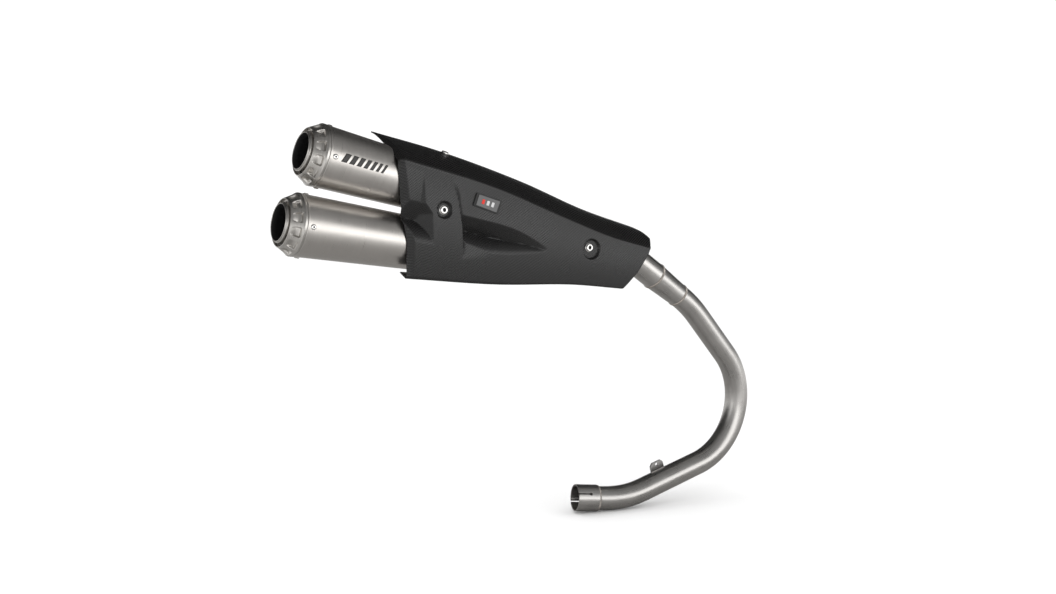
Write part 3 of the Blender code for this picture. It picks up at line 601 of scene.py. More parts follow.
def prism_mesh(name, outline, depth):
    """Mesh of an (x, z) outline extruded from y = 0 to y = depth."""
    bm = bmesh.new()
    face = bm.faces.new([bm.verts.new((x, 0.0, z)) for x, z in outline])
    grown = bmesh.ops.extrude_face_region(bm, geom=[face])["geom"]
    verts = [v for v in grown if isinstance(v, bmesh.types.BMVert)]
    bmesh.ops.translate(bm, verts=verts, vec=(0, depth, 0))
    bmesh.ops.recalc_face_normals(bm, faces=bm.faces)
    mesh = bpy.data.meshes.new(name)
    bm.to_mesh(mesh)
    bm.free()
    return mesh


def blacken(mesh, inside):
    """Give the second material to the faces whose centres (x, distance from x axis) pass a test."""
    for face in mesh.polygons:
        centre = face.center
        face.material_index = 1 if inside(centre.x, math.hypot(centre.y, centre.z)) else 0


def cutter(name, mesh, matrix=None):
    """A hidden object that only cuts or joins."""
    obj = new_object(name, mesh)
    obj.hide_render = True
    obj.hide_viewport = True
    if matrix is not None:
        obj.matrix_world = matrix
    return obj


def boolean(obj, tool, operation):
    """Keep a Boolean on a piece."""
    modifier = obj.modifiers.new(operation.lower(), "BOOLEAN")
    modifier.operation = operation
    modifier.object = tool


def bevel(obj, width, angle=50, segments=2):
    """Round a piece's sharp edges."""
    modifier = obj.modifiers.new("edges", "BEVEL")
    modifier.width = width
    modifier.segments = segments
    modifier.limit_method = "ANGLE"
    modifier.angle_limit = math.radians(angle)
    modifier.harden_normals = False


# ---- tubes


def weld_bead(name, path, s, radius, mats, width=0.0026, proud=0.0012):
    """Ring of overlapping weld ripples round a tube."""
    ripples = round(2 * math.pi * radius / 0.0014)
    turns = ripples * 6
    rows = []
    for k in range(turns):
        turn = 2 * math.pi * k / turns
        ripple = abs(math.sin(ripples * turn / 2))
        ring = []
        for j in range(12):
            around = 2 * math.pi * j / 12
            reach = s + width * (0.86 + 0.14 * ripple) * math.cos(around) + 0.0005 * ripple
            centre, side, up = path.at(reach)
            r = radius + proud * (0.72 + 0.28 * ripple) * math.sin(around)
            ring.append(centre + side * (r * math.cos(turn)) + up * (r * math.sin(turn)))
        rows.append(ring)
    mesh = outward(ring_mesh(name, rows, True))
    return finish_piece(name, mesh, [mats["weld"]], "system", ())


def make_socket(mats):
    """Slip socket with four saw cuts, each ending in a drilled hole."""
    low_run = (CORNER_LOW - SOCKET_MOUTH).normalized()
    profile = along_tube(SOCKET_LENGTH, SOCKET_R, SOCKET_BORE_R, 0.003, TUBE_END_ROUND)
    mesh = revolved("slip_socket", profile, sides=96, hot=((SOCKET_LENGTH, 0.004),))
    place = frame_matrix(SOCKET_MOUTH, low_run)
    socket = fine_piece("slip_socket", mesh, [mats["pipe"]], place)
    for i in range(SLOT_COUNT):
        turn = SLOT_TURN + 2 * math.pi * i / SLOT_COUNT
        outline = [(-0.002, -SLOT_WIDTH / 2), (SLOT_LENGTH - SLOT_HOLE_R, -SLOT_WIDTH / 2)]
        for k in range(17):
            around = math.radians(-150 + 300 * k / 16)
            x = SLOT_LENGTH + SLOT_HOLE_R * math.cos(around)
            outline.append((x, SLOT_HOLE_R * math.sin(around)))
        outline += [(SLOT_LENGTH - SLOT_HOLE_R, SLOT_WIDTH / 2), (-0.002, SLOT_WIDTH / 2)]
        spot = Matrix.Translation((0, 0.020 * math.cos(turn), 0.020 * math.sin(turn)))
        matrix = place @ spot @ Matrix.Rotation(turn, 4, "X")
        boolean(socket, cutter(f"slot_{i + 1}", prism_mesh("slot", outline, 0.012), matrix), "DIFFERENCE")
    bevel(socket, 0.0002, 60, 1)


def make_pipe(mats):
    """Link pipe, reducer cone and inlet tube, with their weld beads."""
    low_run = (CORNER_LOW - SOCKET_MOUTH).normalized()
    top_run = (CORNER_INLET - CORNER_TOP).normalized()
    start = SOCKET_MOUTH + low_run * (SOCKET_LENGTH - SOCKET_OVERLAP)
    cone_start = CORNER_TOP + top_run * REDUCER_START
    cone_end = cone_start + top_run * REDUCER_LENGTH
    route = Path(rounded_path([start, CORNER_LOW, CORNER_LOOP, CORNER_TOP, cone_start], BENDS))
    cone = Path([cone_start, cone_end])
    inlet = Path(rounded_path([cone_end, CORNER_INLET, stub_end()], [BEND_INLET]))
    for node, path, radii, hot_start in (
        ("link_pipe", route, (PIPE_R, PIPE_R), (SOCKET_OVERLAP, 0.004)),
        ("reducer_cone", cone, (PIPE_R, INLET_R), (0.0, 0.006)),
        ("inlet_tube", inlet, (INLET_R, INLET_R), (0.0, 0.006)),
    ):
        bores = [radius - TUBE_WALL for radius in radii]
        profile = along_tube(path.length, radii[0], bores[0], 0.004, outer_end=radii[1], inner_end=bores[1])
        mesh = revolved(node, profile, path, hot=(hot_start, (path.length, 0.006)))
        fine_piece(node, mesh, [mats["pipe"]])
    weld_bead("socket_weld", route, SOCKET_OVERLAP + 0.0003, PIPE_R + 0.0009, mats)
    weld_bead("cone_weld_front", cone, 0.0, PIPE_R, mats)
    weld_bead("cone_weld_rear", cone, cone.length, INLET_R, mats)
    weld_bead("inlet_weld", inlet, inlet.length, INLET_R, mats)


def stub_end():
    """Point where the inlet tube meets the collector."""
    return JUNCTION + (CORNER_INLET - JUNCTION).normalized() * STUB_LENGTH


def can_frame(which):
    """Rear edge centre and forward direction of a can, from its node's box and its joint."""
    joint = next(j for j in frame["joints"] if j["child"] == f"{which}_damper")
    axis = -Vector(joint["axis"]).normalized()
    low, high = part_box(f"{which}_can_sleeve")
    sine, cosine = -axis.z, axis.x
    return Vector((low.x + CAN_REAR_R * sine, PLANE_Y, high.z - CAN_REAR_R * cosine)), axis


def make_collector(mats):
    """Y collector: three legs joined, then bored."""
    ahead = (CORNER_INLET - JUNCTION).normalized()
    legs = []
    for which in ("upper", "lower"):
        rear, axis = can_frame(which)
        start = rear + axis * FRONT_CAP_X
        corner = rear + axis * (FRONT_CAP_X + 0.065)
        route = rounded_path([start, corner, JUNCTION, JUNCTION + ahead * 0.030], [BEND_BRANCH] * 2)
        legs.append((Path(route), BRANCH_R))
        weld_bead(f"{which}_branch_weld", legs[-1][0], 0.0, BRANCH_R, mats)
    legs.append((Path([JUNCTION, stub_end()]), INLET_R))
    rods, bores = [], []
    steps = 40
    for i, (path, radius) in enumerate(legs):
        for grow, reach, group in ((0.0, 0.0, rods), (-TUBE_WALL, 0.002, bores)):
            if path is legs[2][0]:
                start, end = 0.0, path.length + reach
            else:
                start, end = -reach, path.length
            profile = [(start, 0.0)]
            profile += [(start + (end - start) * k / steps, radius + grow) for k in range(steps + 1)]
            profile.append((end, 0.0))
            group.append(revolved(f"leg_{i}", profile, path, 48, closed=False))
    body = fine_piece("y_collector", rods[0], [mats["pipe"]])
    for i, mesh in enumerate(rods[1:]):
        boolean(body, cutter(f"collector_leg_{i}", mesh), "UNION")
    for i, mesh in enumerate(bores):
        boolean(body, cutter(f"collector_bore_{i}", mesh), "DIFFERENCE")


# ---- silencers


def can_radius(x):
    """Outer radius of a sleeve at x from its rear edge."""
    return CAN_REAR_R + (CAN_FRONT_R - CAN_REAR_R) * x / CAN_LENGTH


def make_sleeve(which, place, mats):
    """Conical sleeve with a rolled bead at its rear edge."""
    bead = [(0.0003, 0.0503), (0.0003, 0.0508), (0.0010, 0.0513), (0.0020, 0.0513), (0.0028, 0.05095)]
    outer = [(0.004 + 0.0074 * k, can_radius(0.004 + 0.0074 * k)) for k in range(41)]
    inner = [(CAN_LENGTH, CAN_FRONT_R - CAN_WALL), (0.0003, CAN_REAR_R - CAN_WALL)]
    mesh = revolved("sleeve", bead + outer + inner, sides=CAN_SIDES)
    fine_piece(f"{which}_can_sleeve", mesh, [mats["sleeve"]], place)


def window_turns(x):
    """Angles across one window period at x: (angle, how deep) from its middle to the next rib."""
    base_round = 0.0022
    rim_round = 0.0085
    half = math.radians(8.6)
    near_base = max(0.0, 1 - (WINDOW_BASE_X - x) / base_round)
    near_rim = max(0.0, 1 - (x - WINDOW_RIM_X) / rim_round)
    half -= math.radians(2.6) * (1 - math.sqrt(max(0.0, 1 - min(1.0, near_base) ** 2)))
    half -= math.radians(4.2) * (1 - math.sqrt(max(0.0, 1 - min(1.0, near_rim) ** 2)))
    wall = math.radians(1.9)
    end = math.pi / WINDOW_COUNT
    turns = [(half * t, 1.0) for t in (0.0, 0.3, 0.6, 0.85, 1.0)]
    turns += [(half + wall * t, 1 - smoothstep(t, 0, 1)) for t in (0.2, 0.4, 0.6, 0.8, 1.0)]
    turns += [(half + wall + (end - half - wall) * t, 0.0) for t in (0.4, 0.8)]
    return turns


def make_end_cap(which, place, mats):
    """End cap: ring, cone with pockets, rounded rim, groove and inner seat."""
    base_x, rim_x = -0.0059, -0.0226
    base_r, rim_r = 0.0498, 0.0404
    cone = [base_x, -0.0066, WINDOW_BASE_X, -0.0075, -0.0079, -0.0083, -0.0087]
    cone += [-0.0100 - 0.0015 * k for k in range(9)] + [rim_x]
    bore = can_radius(0) - CAN_WALL - 0.0004
    ring = [(0.018, 0.0474), (0.018, bore), (-0.0003, bore), (-0.0003, 0.0515), (-0.0044, 0.0515)]
    rim = [(rim_x, rim_r), (-0.0244, 0.0393), (-0.0245, 0.0383), (-0.0187, 0.0376), (-0.0185, 0.0338)]
    seat = [(0.012, 0.0338), (0.012, 0.0362), (-0.002, 0.0362), (-0.002, 0.0474)]
    plain = [(x, r, False) for x, r in fillet(ring, 0.0006)[1:]] + [(x, 0.0, True) for x in cone]
    plain += [(x, r, False) for x, r in fillet(rim, 0.0009)[2:] + seat]
    rows, grain = [], []
    for x, radius, pocketed in plain:
        slope = (x - base_x) / (rim_x - base_x)
        surface = base_r + (rim_r - base_r) * slope if pocketed else radius
        inside = smoothstep(WINDOW_BASE_X - x, 0.0, 0.0013) if pocketed else 0.0
        turns = window_turns(min(WINDOW_BASE_X, max(WINDOW_RIM_X, x)))
        row = []
        for i in range(WINDOW_COUNT):
            middle = 2 * math.pi * (i + 0.5) / WINDOW_COUNT
            both = [(-a, d) for a, d in turns[:0:-1]] + turns
            for angle, deep in both:
                depth = min(WINDOW_DEPTH, max(0.0, surface - WINDOW_FLOOR_R)) * inside * deep
                r = surface - depth
                turn = middle + angle
                row.append(Vector((x, r * math.cos(turn), r * math.sin(turn))))
        rows.append(row)
        grain.append([(p.x, p.y, p.z) for p in row])
    name = f"{which}_end_cap"
    mesh = outward(ring_mesh(name, rows, True, grain))
    fine_piece(name, mesh, [mats["cap"]], place)


def make_insert(which, place, mats):
    """Removable insert: rolled double lip, black bore, tapered end, ear and screw."""
    lip = [(-0.0185, 0.0332), (-0.0262, 0.0332), (-0.0275, 0.0326), (-0.0281, 0.0319), (-0.0266, 0.0313)]
    lip += [(-0.0290, 0.0309), (-0.0295, 0.0304), (-0.0292, 0.0296), (-0.0275, 0.0292), (-0.0190, 0.0292)]
    bore = [(-0.0160, 0.0310), (0.0595, 0.0317), (0.085, 0.0222), (0.085, 0.0235), (0.060, 0.0332)]
    profile = fillet(lip, 0.0005, 2, closed=False) + fillet(bore, 0.0006, 2, closed=False)
    mesh = revolved("insert", profile, sides=96)
    body = f"{which}_damper"
    blacken(mesh, lambda x, radius: x > -0.0186 or (radius < 0.0301 and x > -0.0288))
    fine_piece(f"{body}_insert", mesh, [mats["cap"], mats["soot"]], place, body)
    turned = place @ Matrix.Rotation(SCREW_ANGLE, 4, "X")
    outline = [(-0.0027, 0.0325), (0.0027, 0.0325), (0.0027, 0.0360)]
    outline += [(0.0012, 0.0374), (-0.0012, 0.0374), (-0.0027, 0.0360)]
    mesh = prism_mesh("ear", outline, 0.002)
    face_back = Matrix(((0, -1, 0, -0.0205), (0, 0, 1, 0), (-1, 0, 0, 0), (0, 0, 0, 1)))
    ear = finish_piece(f"{which}_insert_ear", mesh, [mats["cap"]], body, (), turned @ face_back)
    bevel(ear, 0.0003)
    head = [(-0.0090, 0.0), (-0.0090, 0.0010), (-0.0228, 0.0010), (-0.0228, 0.0018), (-0.0245, 0.0018)]
    head += [(-0.0252, 0.0014), (-0.0252, 0.0009), (-0.0242, 0.0008), (-0.0242, 0.0)]
    mesh = revolved("screw", head, sides=36, closed=False, hexed=3)
    spot = turned @ Matrix.Translation((0, SCREW_RADIUS, 0))
    fine_piece(f"{which}_insert_screw", mesh, [mats["bolt"]], spot, body)


def make_rivets(which, place, mats):
    """Ring of blind rivets, each with the hole its mandrel leaves painted black inside as painted shade."""
    profile = [(-0.0035, 0.0), (-0.0035, 0.0022), (0.0003, 0.0022), (0.0001, 0.0044), (0.0005, 0.0046)]
    profile += [(0.0010, 0.0043), (0.0016, 0.0034), (0.0019, 0.0024), (0.0018, 0.0017)]
    profile += [(0.0010, 0.0015), (0.0002, 0.0014), (0.0002, 0.0)]
    surface = can_radius(RIVET_X)
    for i in range(RIVET_COUNT):
        turn = 2 * math.pi * i / RIVET_COUNT
        radial = Vector((0, math.cos(turn), math.sin(turn)))
        spot = place @ frame_matrix(Vector((RIVET_X, 0, 0)) + radial * surface, radial)
        mesh = revolved("rivet", profile, sides=32, closed=False)
        # painted shade: the faces inside the mandrel hole take the near-black soot-and-shade material
        blacken(mesh, lambda x, radius: radius < 0.00158 and x > 0)
        fine_piece(f"{which}_rivet_{i + 1}", mesh, [mats["bolt"], mats["soot"]], spot)


def make_front_cap(which, place, mats):
    """Front cap with a rounded shoulder down to its neck."""
    corners = [
        (0.286, 0.0412), (CAN_LENGTH, 0.0407), (CAN_LENGTH + 0.0003, 0.0420), (0.306, 0.0418),
        (0.321, 0.0245), (0.331, 0.023), (FRONT_CAP_X, 0.023), (FRONT_CAP_X, 0.0215), (0.331, 0.0215),
        (0.3215, 0.0228), (0.3045, 0.0345), (0.296, 0.0345), (0.296, 0.0385), (0.286, 0.0388),
    ]
    hot = ((FRONT_CAP_X, 0.006), (0.302, 0.004))
    mesh = revolved("front_cap", fillet(corners, 0.004, 5), sides=96, hot=hot)
    fine_piece(f"{which}_front_cap", mesh, [mats["pipe"]], place)


def make_stripes(place, mats):
    """Row of plain slanted bars printed on the upper can's outboard side."""
    columns, heights = 4, 12
    bars, faces = [], []
    start = STRIPE_START
    for i in range(STRIPE_COUNT):
        width = STRIPE_WIDTH - STRIPE_NARROWING * i
        faces += grid_faces(columns + 1, heights + 1, len(bars))
        for k in range(columns + 1):
            for j in range(heights + 1):
                rise = STRIPE_TALL * (j / heights - 0.5)
                x = start + width * k / columns + STRIPE_SLANT * rise
                radius = can_radius(x) + STRIPE_CLEAR
                turn = math.pi - 0.05 - rise / radius
                bars.append((x, radius * math.cos(turn), radius * math.sin(turn)))
        start += width + STRIPE_GAP
    mesh = bpy.data.meshes.new("stripes")
    mesh.from_pydata(bars, [], faces)
    stripes = finish_piece("upper_can_stripes", mesh, [mats["print"]], "system", (), place)
    thick = stripes.modifiers.new("film", "SOLIDIFY")
    thick.thickness = STRIPE_FILM
    thick.offset = 0.0


def make_can(which, mats):
    """One silencer's visible pieces."""
    rear, axis = can_frame(which)
    place = Matrix.Translation(rear) @ Matrix.Rotation(math.atan2(-axis.z, axis.x), 4, "Y")
    make_sleeve(which, place, mats)
    make_end_cap(which, place, mats)
    make_insert(which, place, mats)
    make_rivets(which, place, mats)
    make_front_cap(which, place, mats)
    if which == "upper":
        make_stripes(place, mats)


# ---- heat shield


def along(ends, x):
    """A value that runs evenly from the shield's rear end to its front end."""
    return ends[0] + (ends[1] - ends[0]) * (x - SHIELD_X[0]) / (SHIELD_X[1] - SHIELD_X[0])


def chamfer_depth(x, z):
    """How far the flange at the rear edge turns in."""
    return CHAMFER_SLOPE * smoothstep(z, 0.405, 0.475) * max(0.0, straight(CHAMFER_LINE, z) - x)


def hollow(rise, height, deepest):
    """Depth of a groove's lower wall: a slight slope at its bottom edge that steepens upward."""
    foot = min(FOOT_SLOPE * height, 0.4 * deepest)
    share = rise / height
    return foot * share + (deepest - foot) * share**2.2


def rear_depth(x, z):
    """Depth of the facets and the groove behind the band."""
    wall = REAR_WALL_SLOPE * (straight(BAND_REAR, z) - x)
    if wall <= 0:
        return 0.0
    top, floor, bottom = (curve(line, x) for line in (REAR_TOP, REAR_FLOOR, REAR_BOTTOM))
    crease = curve(CREASE, x) - 0.012
    if z > top:
        facet = FACET_DEPTH * min(1.0, max(0.0, (crease - z) / (crease - top)))
    elif z > floor:
        facet = FACET_DEPTH + (GROOVE_DEPTH - FACET_DEPTH) * (top - z) / (top - floor)
    else:
        facet = hollow(max(0.0, z - bottom), floor - bottom, GROOVE_DEPTH)
    return min(wall, facet)


def front_depth(x, z):
    """Depth of the step ahead of the band and of the long groove that fades to a point."""
    ahead = x - straight(BAND_FRONT, z)
    if ahead <= 0:
        return 0.0
    ends = smoothstep(z, 0.4616, 0.490) * (1 - smoothstep(z, 0.560, 0.6005))
    depth = BAND_STEP * ends * smoothstep(ahead, 0.0, 0.0016) * (1 - smoothstep(ahead, 0.0, 0.075))
    depth += BAND_STEP * ends * smoothstep(ahead, 0.0, 0.0014) * (1 - smoothstep(ahead, 0.0014, 0.007))
    if x < GROOVE_TIP:
        top, floor, bottom = (curve(line, x) for line in (FRONT_TOP, FRONT_FLOOR, FRONT_BOTTOM))
        fade = min(1.0, 1.35 * (GROOVE_TIP - x) / (GROOVE_TIP - BAND_FRONT[1][1]))
        deepest = GROOVE_DEPTH * fade * smoothstep(ahead, 0.0, 0.003)
        if floor < z < top:
            depth = max(depth, deepest * (top - z) / (top - floor))
        elif bottom < z <= floor:
            depth = max(depth, hollow(z - bottom, floor - bottom, deepest))
    return depth


def side_depth(x, z):
    """Depth of everything pressed into the shield's side."""
    depth = max(chamfer_depth(x, z), rear_depth(x, z), front_depth(x, z))
    for cx, cz, radius in RECESSES.values():
        distance = math.hypot(x - cx, z - cz)
        depth = max(depth, RECESS_DEPTH * (1 - smoothstep(distance, radius - 0.0035, radius)))
    return depth


def side_tuck(share, tall):
    """How far a side this tall curves in above and below its fullest line."""
    return tall * (0.055 * max(0.0, (share - 0.3) / 0.7) ** 2 + 0.018 * max(0.0, 1 - share / 0.4) ** 2)


def panel_point(x, share):
    """(y, z) of the top panel from its lip (0) to the crease (1)."""
    lip = Vector((along(LIP_Y, x), curve(LIP, x)))
    crease = Vector((along(SIDE_Y, x) + 0.0028, curve(CREASE, x)))
    chord = crease - lip
    out = Vector((chord.y, -chord.x)).normalized()
    return lip + chord * share + out * (CROWN * 4 * share * (1 - share))


def spread(share, rear, front, u):
    """x at a share down and at u along, between the shield's two end edges."""
    start = straight(rear, share)
    end = straight(front, share)
    return start + (end - start) * u


def bent(start, corner, end, steps):
    """Points of the rounding between start and end, without its two ends."""
    shares = [k / steps for k in range(1, steps)]
    return [start * (1 - t) ** 2 + corner * 2 * t * (1 - t) + end * t**2 for t in shares]


def shield_column(u):
    """Outer skin's points at u, from the top lip round to the bottom lip."""
    points = []
    for k in range(TOP_ROWS):
        share = TOP_SHARE * k / (TOP_ROWS - 1)
        x = spread(share, REAR_TOP_END, FRONT_TOP_END, u)
        yz = panel_point(x, share)
        past = max(0.0, straight(REAR_TOP_END, share) + TOP_CHAMFER - x)
        turn_in = CHAMFER_SLOPE * past * smoothstep(share, 0.0, 0.7)
        points.append(Vector((x, yz.x + 0.45 * turn_in, yz.y - turn_in)))
    side = []
    for k in range(SIDE_ROWS):
        share = SIDE_START + SIDE_SPAN * k / (SIDE_ROWS - 1)
        x = spread(share, REAR_SIDE_END, FRONT_SIDE_END, u)
        crease, bottom = curve(CREASE, x), curve(BOTTOM, x)
        z = crease + (bottom - crease) * share
        y = along(SIDE_Y, x) + side_tuck(share, crease - bottom) + side_depth(x, z)
        side.append(Vector((x, y, z)))
    x = spread(0.0, REAR_SIDE_END, FRONT_SIDE_END, u)
    turn_in = chamfer_depth(x, curve(CREASE, x))
    crease = Vector((x, along(SIDE_Y, x) + 0.0022 + turn_in, curve(CREASE, x) - 0.5 * turn_in))
    points += bent(points[-1], crease, side[0], FOLD_STEPS) + side
    x = spread(1.0, REAR_SIDE_END, FRONT_SIDE_END, u)
    bottom = curve(BOTTOM, x)
    y = along(SIDE_Y, x) + side_tuck(1.0, curve(CREASE, x) - bottom) + chamfer_depth(x, bottom)
    under = []
    start_y = y + 0.0045
    for k in range(LIP_ROWS):
        inward = k / (LIP_ROWS - 1)
        rise = UNDERLIP_RISE * inward * (1 - smoothstep(x, -0.35, -0.10))
        under.append(Vector((x, start_y + (UNDERLIP_Y - start_y) * inward, bottom + rise)))
    return points + bent(side[-1], Vector((x, y, bottom)), under[0], FOLD_STEPS) + under


def make_shield(mats):
    """Heat shield's one folded skin, pressed with its groove, band and recesses."""
    grid = [shield_column(k / (SHIELD_COLUMNS - 1)) for k in range(SHIELD_COLUMNS)]
    rows = len(grid[0])
    points = [p for column in grid for p in column]
    grain = []
    for column in grid:
        run = 0.0
        for i, p in enumerate(column):
            run += (p - column[i - 1]).length if i else 0.0
            grain += [p.x, run, 0.0]
    mesh = bpy.data.meshes.new("shield")
    mesh.from_pydata(points, [], grid_faces(SHIELD_COLUMNS, rows))
    mesh.attributes.new("grain", "FLOAT_VECTOR", "POINT").data.foreach_set("vector", grain)
    if mesh.polygons[rows // 2].normal.y > 0:
        mesh.flip_normals()
    shield = fine_piece("heat_shield", mesh, [mats["carbon"]])
    skin = shield.modifiers.new("skin", "SOLIDIFY")
    skin.thickness = SKIN
    skin.offset = -1.0


def bolt_mesh(radius, height, length, shank, socket):
    """Flanged bolt along local x: its head stands at -x on a seat at x = 0."""
    head = 0.80 * radius
    floor = -height + 0.0026
    profile = [(length, 0.0), (length, 0.8 * shank), (length - 0.0006, shank), (0.0, shank)]
    profile += [(0.0, 0.97 * radius), (-0.0003, radius), (-0.0009, radius), (-0.0013, 0.93 * radius)]
    profile += [(-0.0016, head + 0.0002), (-0.0019, head), (-height + 0.0006, head)]
    profile += [(-height + 0.0001, head - 0.0005), (-height, head - 0.001), (-height, socket + 0.0004)]
    profile += [(-height + 0.0004, socket), (floor, socket), (floor, 0.0)]
    return revolved("bolt", profile, sides=60, closed=False, hexed=3)


def make_bolt(name, seat, direction, mats, radius, height, length, socket=0.0031):
    """A bolt in place of its CAD node, its socket painted black inside as painted shade."""
    mesh = bolt_mesh(radius, height, length, BOLT_SHANK_R, socket)
    place = frame_matrix(seat, direction)
    # painted shade: the socket's inside takes the near-black soot-and-shade material
    blacken(mesh, lambda x, spread_out: spread_out < socket * 1.02 and x < -0.0005)
    fine_piece(name, mesh, [mats["bolt"], mats["soot"]], place)


def make_collar(name, box, middle, radii, rounding, sides, mat):
    """Plain ring along y, as long as its CAD node's box."""
    low, high = box
    outer, inner = radii
    length = high.y - low.y
    profile = fillet([(0, outer), (length, outer), (length, inner), (0, inner)], rounding)
    place = frame_matrix(Vector((middle.x, low.y, middle.z)), (0, 1, 0))
    fine_piece(name, revolved(name, profile, sides=sides), [mat], place)


def make_fixings(mats):
    """Shield bolts and bushes, hanger screws, hanger bush and sleeve."""
    for which in RECESSES:
        low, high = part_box(f"shield_bolt_{which}")
        middle = (low + high) / 2
        seat = Vector((middle.x, along(SIDE_Y, middle.x) + RECESS_DEPTH - 0.0001, middle.z))
        size = {"radius": 0.008, "height": 0.0040, "length": 0.0138}
        make_bolt(f"shield_bolt_{which}", seat, (0, 1, 0), mats, **size)
        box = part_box(f"shield_bush_{which}")
        radii = (0.009, 0.0036)
        make_collar(f"shield_bush_{which}", box, middle, radii, 0.0003, 48, mats["rubber"])
    x, y = TOP_BOLT
    ahead = Vector((0.02, 0, curve(LIP, x + 0.01) - curve(LIP, x - 0.01)))
    shares = [k / 200 for k in range(201)]
    share = min(shares, key=lambda t: abs(panel_point(x, t).x - y))
    here, next_one = panel_point(x, share), panel_point(x, share + 0.01)
    across = Vector((0, next_one.x - here.x, next_one.y - here.y))
    normal = across.cross(ahead).normalized()
    normal = normal if normal.z > 0 else -normal
    seat = Vector((x, here.x, here.y)) + normal * 0.0004
    make_bolt("shield_bolt_top", seat, -normal, mats, radius=0.0075, height=0.004, length=0.0175)
    for i in (1, 2):
        low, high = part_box(f"hanger_screw_{i}")
        seat = Vector(((low.x + high.x) / 2, high.y - 0.004, (low.z + high.z) / 2))
        size = {"radius": 0.006, "height": 0.004, "length": 0.0098, "socket": 0.0024}
        make_bolt(f"hanger_screw_{i}", seat, (0, -1, 0), mats, **size)
    for name, radii, finish, slot_name in (
        ("hanger_bush", (0.0117, 0.0064), "rubber", "rubber"),
        ("hanger_sleeve", (0.0061, 0.0042), "bolt", "fastener"),
    ):
        low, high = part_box(name)
        make_collar(name, (low, high), (low + high) / 2, radii, 0.0006, 64, mats[finish])


def make_hanger_plate(mats):
    """Hanger plate with a round eye and rounded corners."""
    low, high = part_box("hanger_plate")
    eye = sum(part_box("hanger_sleeve"), Vector()) / 2
    round_r = high.x - eye.x
    outline = [(low.x, low.z), (low.x + 0.034, low.z)]
    for k in range(33):
        turn = math.radians(-100 + 190 * k / 32)
        outline.append((eye.x + round_r * math.cos(turn), eye.z + round_r * math.sin(turn)))
    outline.append((low.x, eye.z + 0.017))
    outline = fillet(outline, 0.004, 3)
    mesh = prism_mesh("plate", outline, high.y - low.y)
    place = Matrix.Translation((0, low.y, 0))
    plate = fine_piece("hanger_plate", mesh, [mats["plate"]], place)
    hole = revolved("eye", [(0, 0.0), (0, 0.012), (0.02, 0.012), (0.02, 0.0)], sides=64, closed=False)
    spot = frame_matrix(Vector((eye.x, low.y - 0.005, eye.z)), (0, 1, 0))
    boolean(plate, cutter("hanger_eye", hole, spot), "DIFFERENCE")
    bevel(plate, 0.0005, 50, 2)


def make_badge(mats):
    """Plain plate in a dark frame, with three slanted bars in place of any lettering."""
    y = along(SIDE_Y, BADGE[3][0]) + 0.0002
    centre = sum((Vector(p) for p in BADGE), Vector((0, 0))) / 4
    for name, grow, back, proud, finish, stands_for in (
        ("badge_frame", 1.12, 0.0024, 0.0004, "rubber", ()),
        ("shield_badge_fine", 0.94, 0.0005, 0.0011, "badge", ["shield_badge"]),
    ):
        outline = [tuple(centre + (Vector(p) - centre) * grow) for p in BADGE]
        mesh = prism_mesh(name, fillet(outline, 0.0016, 4), -(back + proud))
        place = Matrix.Translation((0, y + back, 0))
        piece = finish_piece(name, mesh, [mats[finish]], "system", stands_for, place)
        bevel(piece, 0.0003, 50, 2)
    along_badge = (Vector(BADGE[1]) - Vector(BADGE[0])).normalized()
    down_badge = (Vector(BADGE[3]) - Vector(BADGE[0])).normalized()
    for i in range(3):
        middle = centre + along_badge * (0.0095 * (i - 1))
        corners = [(-0.0026, -0.0040), (0.0026, -0.0040), (0.0026, 0.0040), (-0.0026, 0.0040)]
        outline = [tuple(middle + along_badge * a + down_badge * b) for a, b in corners]
        mesh = prism_mesh("bar", fillet(outline, 0.0008, 3), -0.0004)
        place = Matrix.Translation((0, y - 0.0010, 0))
        finish = "bar" if i else "red_bar"
        bar = finish_piece(f"badge_bar_{i + 1}", mesh, [mats[finish]], "system", (), place)
        bevel(bar, 0.0001, 50, 1)


def finish_cad_nodes(mats):
    """Finishes and rounded edges for the CAD nodes that stay."""
    for finish, names in (
        ("soot", ("upper_core_tube", "lower_core_tube")),
        ("wool", ("upper_packing", "lower_packing")),
        ("plate", ("can_saddle", "front_boss", "top_boss", "pipe_tab")),
    ):
        for name in names:
            node = frame["nodes"][name]
            node.data.materials.clear()
            node.data.materials.append(mats[finish])
            if finish == "plate":
                bevel(node, 0.0004, 40, 2)


# ---- studio


def make_camera():
    """Camera outboard of the object and behind it, looking slightly down."""
    camera = new_object("camera", bpy.data.cameras.new("camera"))
    camera.location = CAMERA_AT
    camera.rotation_euler = (math.pi / 2 - CAMERA_TILT, 0, CAMERA_AZIMUTH)
    camera.data.lens = CAMERA_LENS
    camera.data.sensor_width = 36.0
    camera.data.clip_end = 100.0
    bpy.context.scene.camera = camera


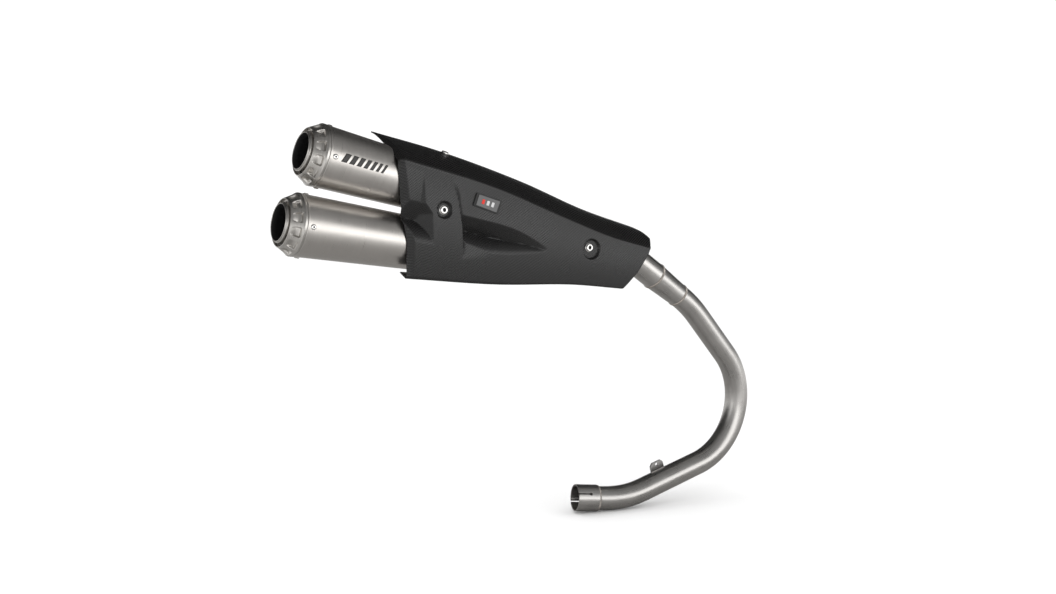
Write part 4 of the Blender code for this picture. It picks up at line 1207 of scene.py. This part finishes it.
def make_floor():
    """Pale floor; reflections see it darker near the object, like a floor out of the light."""
    floor_z = cad_box[0].z - 0.0005
    bm = bmesh.new()
    bmesh.ops.create_grid(bm, x_segments=1, y_segments=1, size=12.0)
    mesh = bpy.data.meshes.new("floor")
    bm.to_mesh(mesh)
    bm.free()
    floor = new_object("floor", mesh)
    floor.location = (0, 0, floor_z)
    mat, n, shader = new_material("pale_floor", Roughness=0.9, Specular_IOR_Level=0.1)
    mirrored = n.add("ShaderNodeLightPath").outputs["Is Glossy Ray"]
    away = n.add("ShaderNodeVectorMath", [(0, object_vector(n))], operation="LENGTH").outputs["Value"]
    # painted shade in reflections: glossy rays see the floor darker near the object, as if out of the light
    painted_floor_shade = n.mix(n.span(away, 0.0, 1.0, 0.55, 3.4), (0.30, 0.295, 0.29), (0.98, 0.98, 0.98))
    connect(n, shader, Base_Color=n.mix(mirrored, (0.98, 0.98, 0.98), painted_floor_shade))
    mesh.materials.append(mat)


def make_world():
    """Even white, but reflections see a bright low horizon and a dim glow from outboard."""
    world = bpy.data.worlds.new("studio")
    bpy.context.scene.world = world
    world.use_nodes = True
    tree = world.node_tree
    tree.nodes.clear()
    n = Nodes(tree)
    direction = n.add("ShaderNodeSeparateXYZ", [(0, n.add("ShaderNodeTexCoord").outputs["Generated"])])
    depth, height = direction.outputs[1], direction.outputs[2]
    low_wall = n.span(height, 0.80, 0.0, 0.03, 0.20)
    outboard = n.span(depth, 0.30, 0.02, -0.6, 0.2)
    walls = n.math("ADD", low_wall, outboard)
    mirrored = n.add("ShaderNodeLightPath").outputs["Is Glossy Ray"]
    even = n.math("MULTIPLY", n.math("SUBTRACT", 1.0, mirrored), 1.10)
    strength = n.math("ADD", even, n.math("MULTIPLY", mirrored, walls))
    background = n.add("ShaderNodeBackground", [("Color", (1, 1, 1, 1)), ("Strength", strength)])
    n.add("ShaderNodeOutputWorld", [("Surface", background.outputs[0])])


def area_light(name, location, target, size, power):
    """Soft rectangular light aimed at a point."""
    data = bpy.data.lights.new(name, "AREA")
    data.shape = "RECTANGLE"
    data.size, data.size_y = size
    data.energy = power
    light = new_object(name, data)
    light.location = location
    light.rotation_euler = (Vector(target) - Vector(location)).to_track_quat("-Z", "Y").to_euler()


def make_studio():
    """Camera, floor, backdrop and lights."""
    make_camera()
    make_floor()
    make_world()
    area_light("key", (0.95, -2.95, 0.72), (-0.05, 0, 0.72), (4.5, 1.5), 29)
    area_light("left_fill", (-3.0, -0.6, 0.9), (-0.4, 0, 0.50), (1.6, 1.6), 5)
    bpy.context.scene.view_settings.view_transform = "Standard"


def main():
    """Everything, in order."""
    make_studio()
    mats = make_materials()
    make_socket(mats)
    make_pipe(mats)
    make_collector(mats)
    make_can("upper", mats)
    make_can("lower", mats)
    make_shield(mats)
    make_fixings(mats)
    make_hanger_plate(mats)
    make_badge(mats)
    finish_cad_nodes(mats)


main()
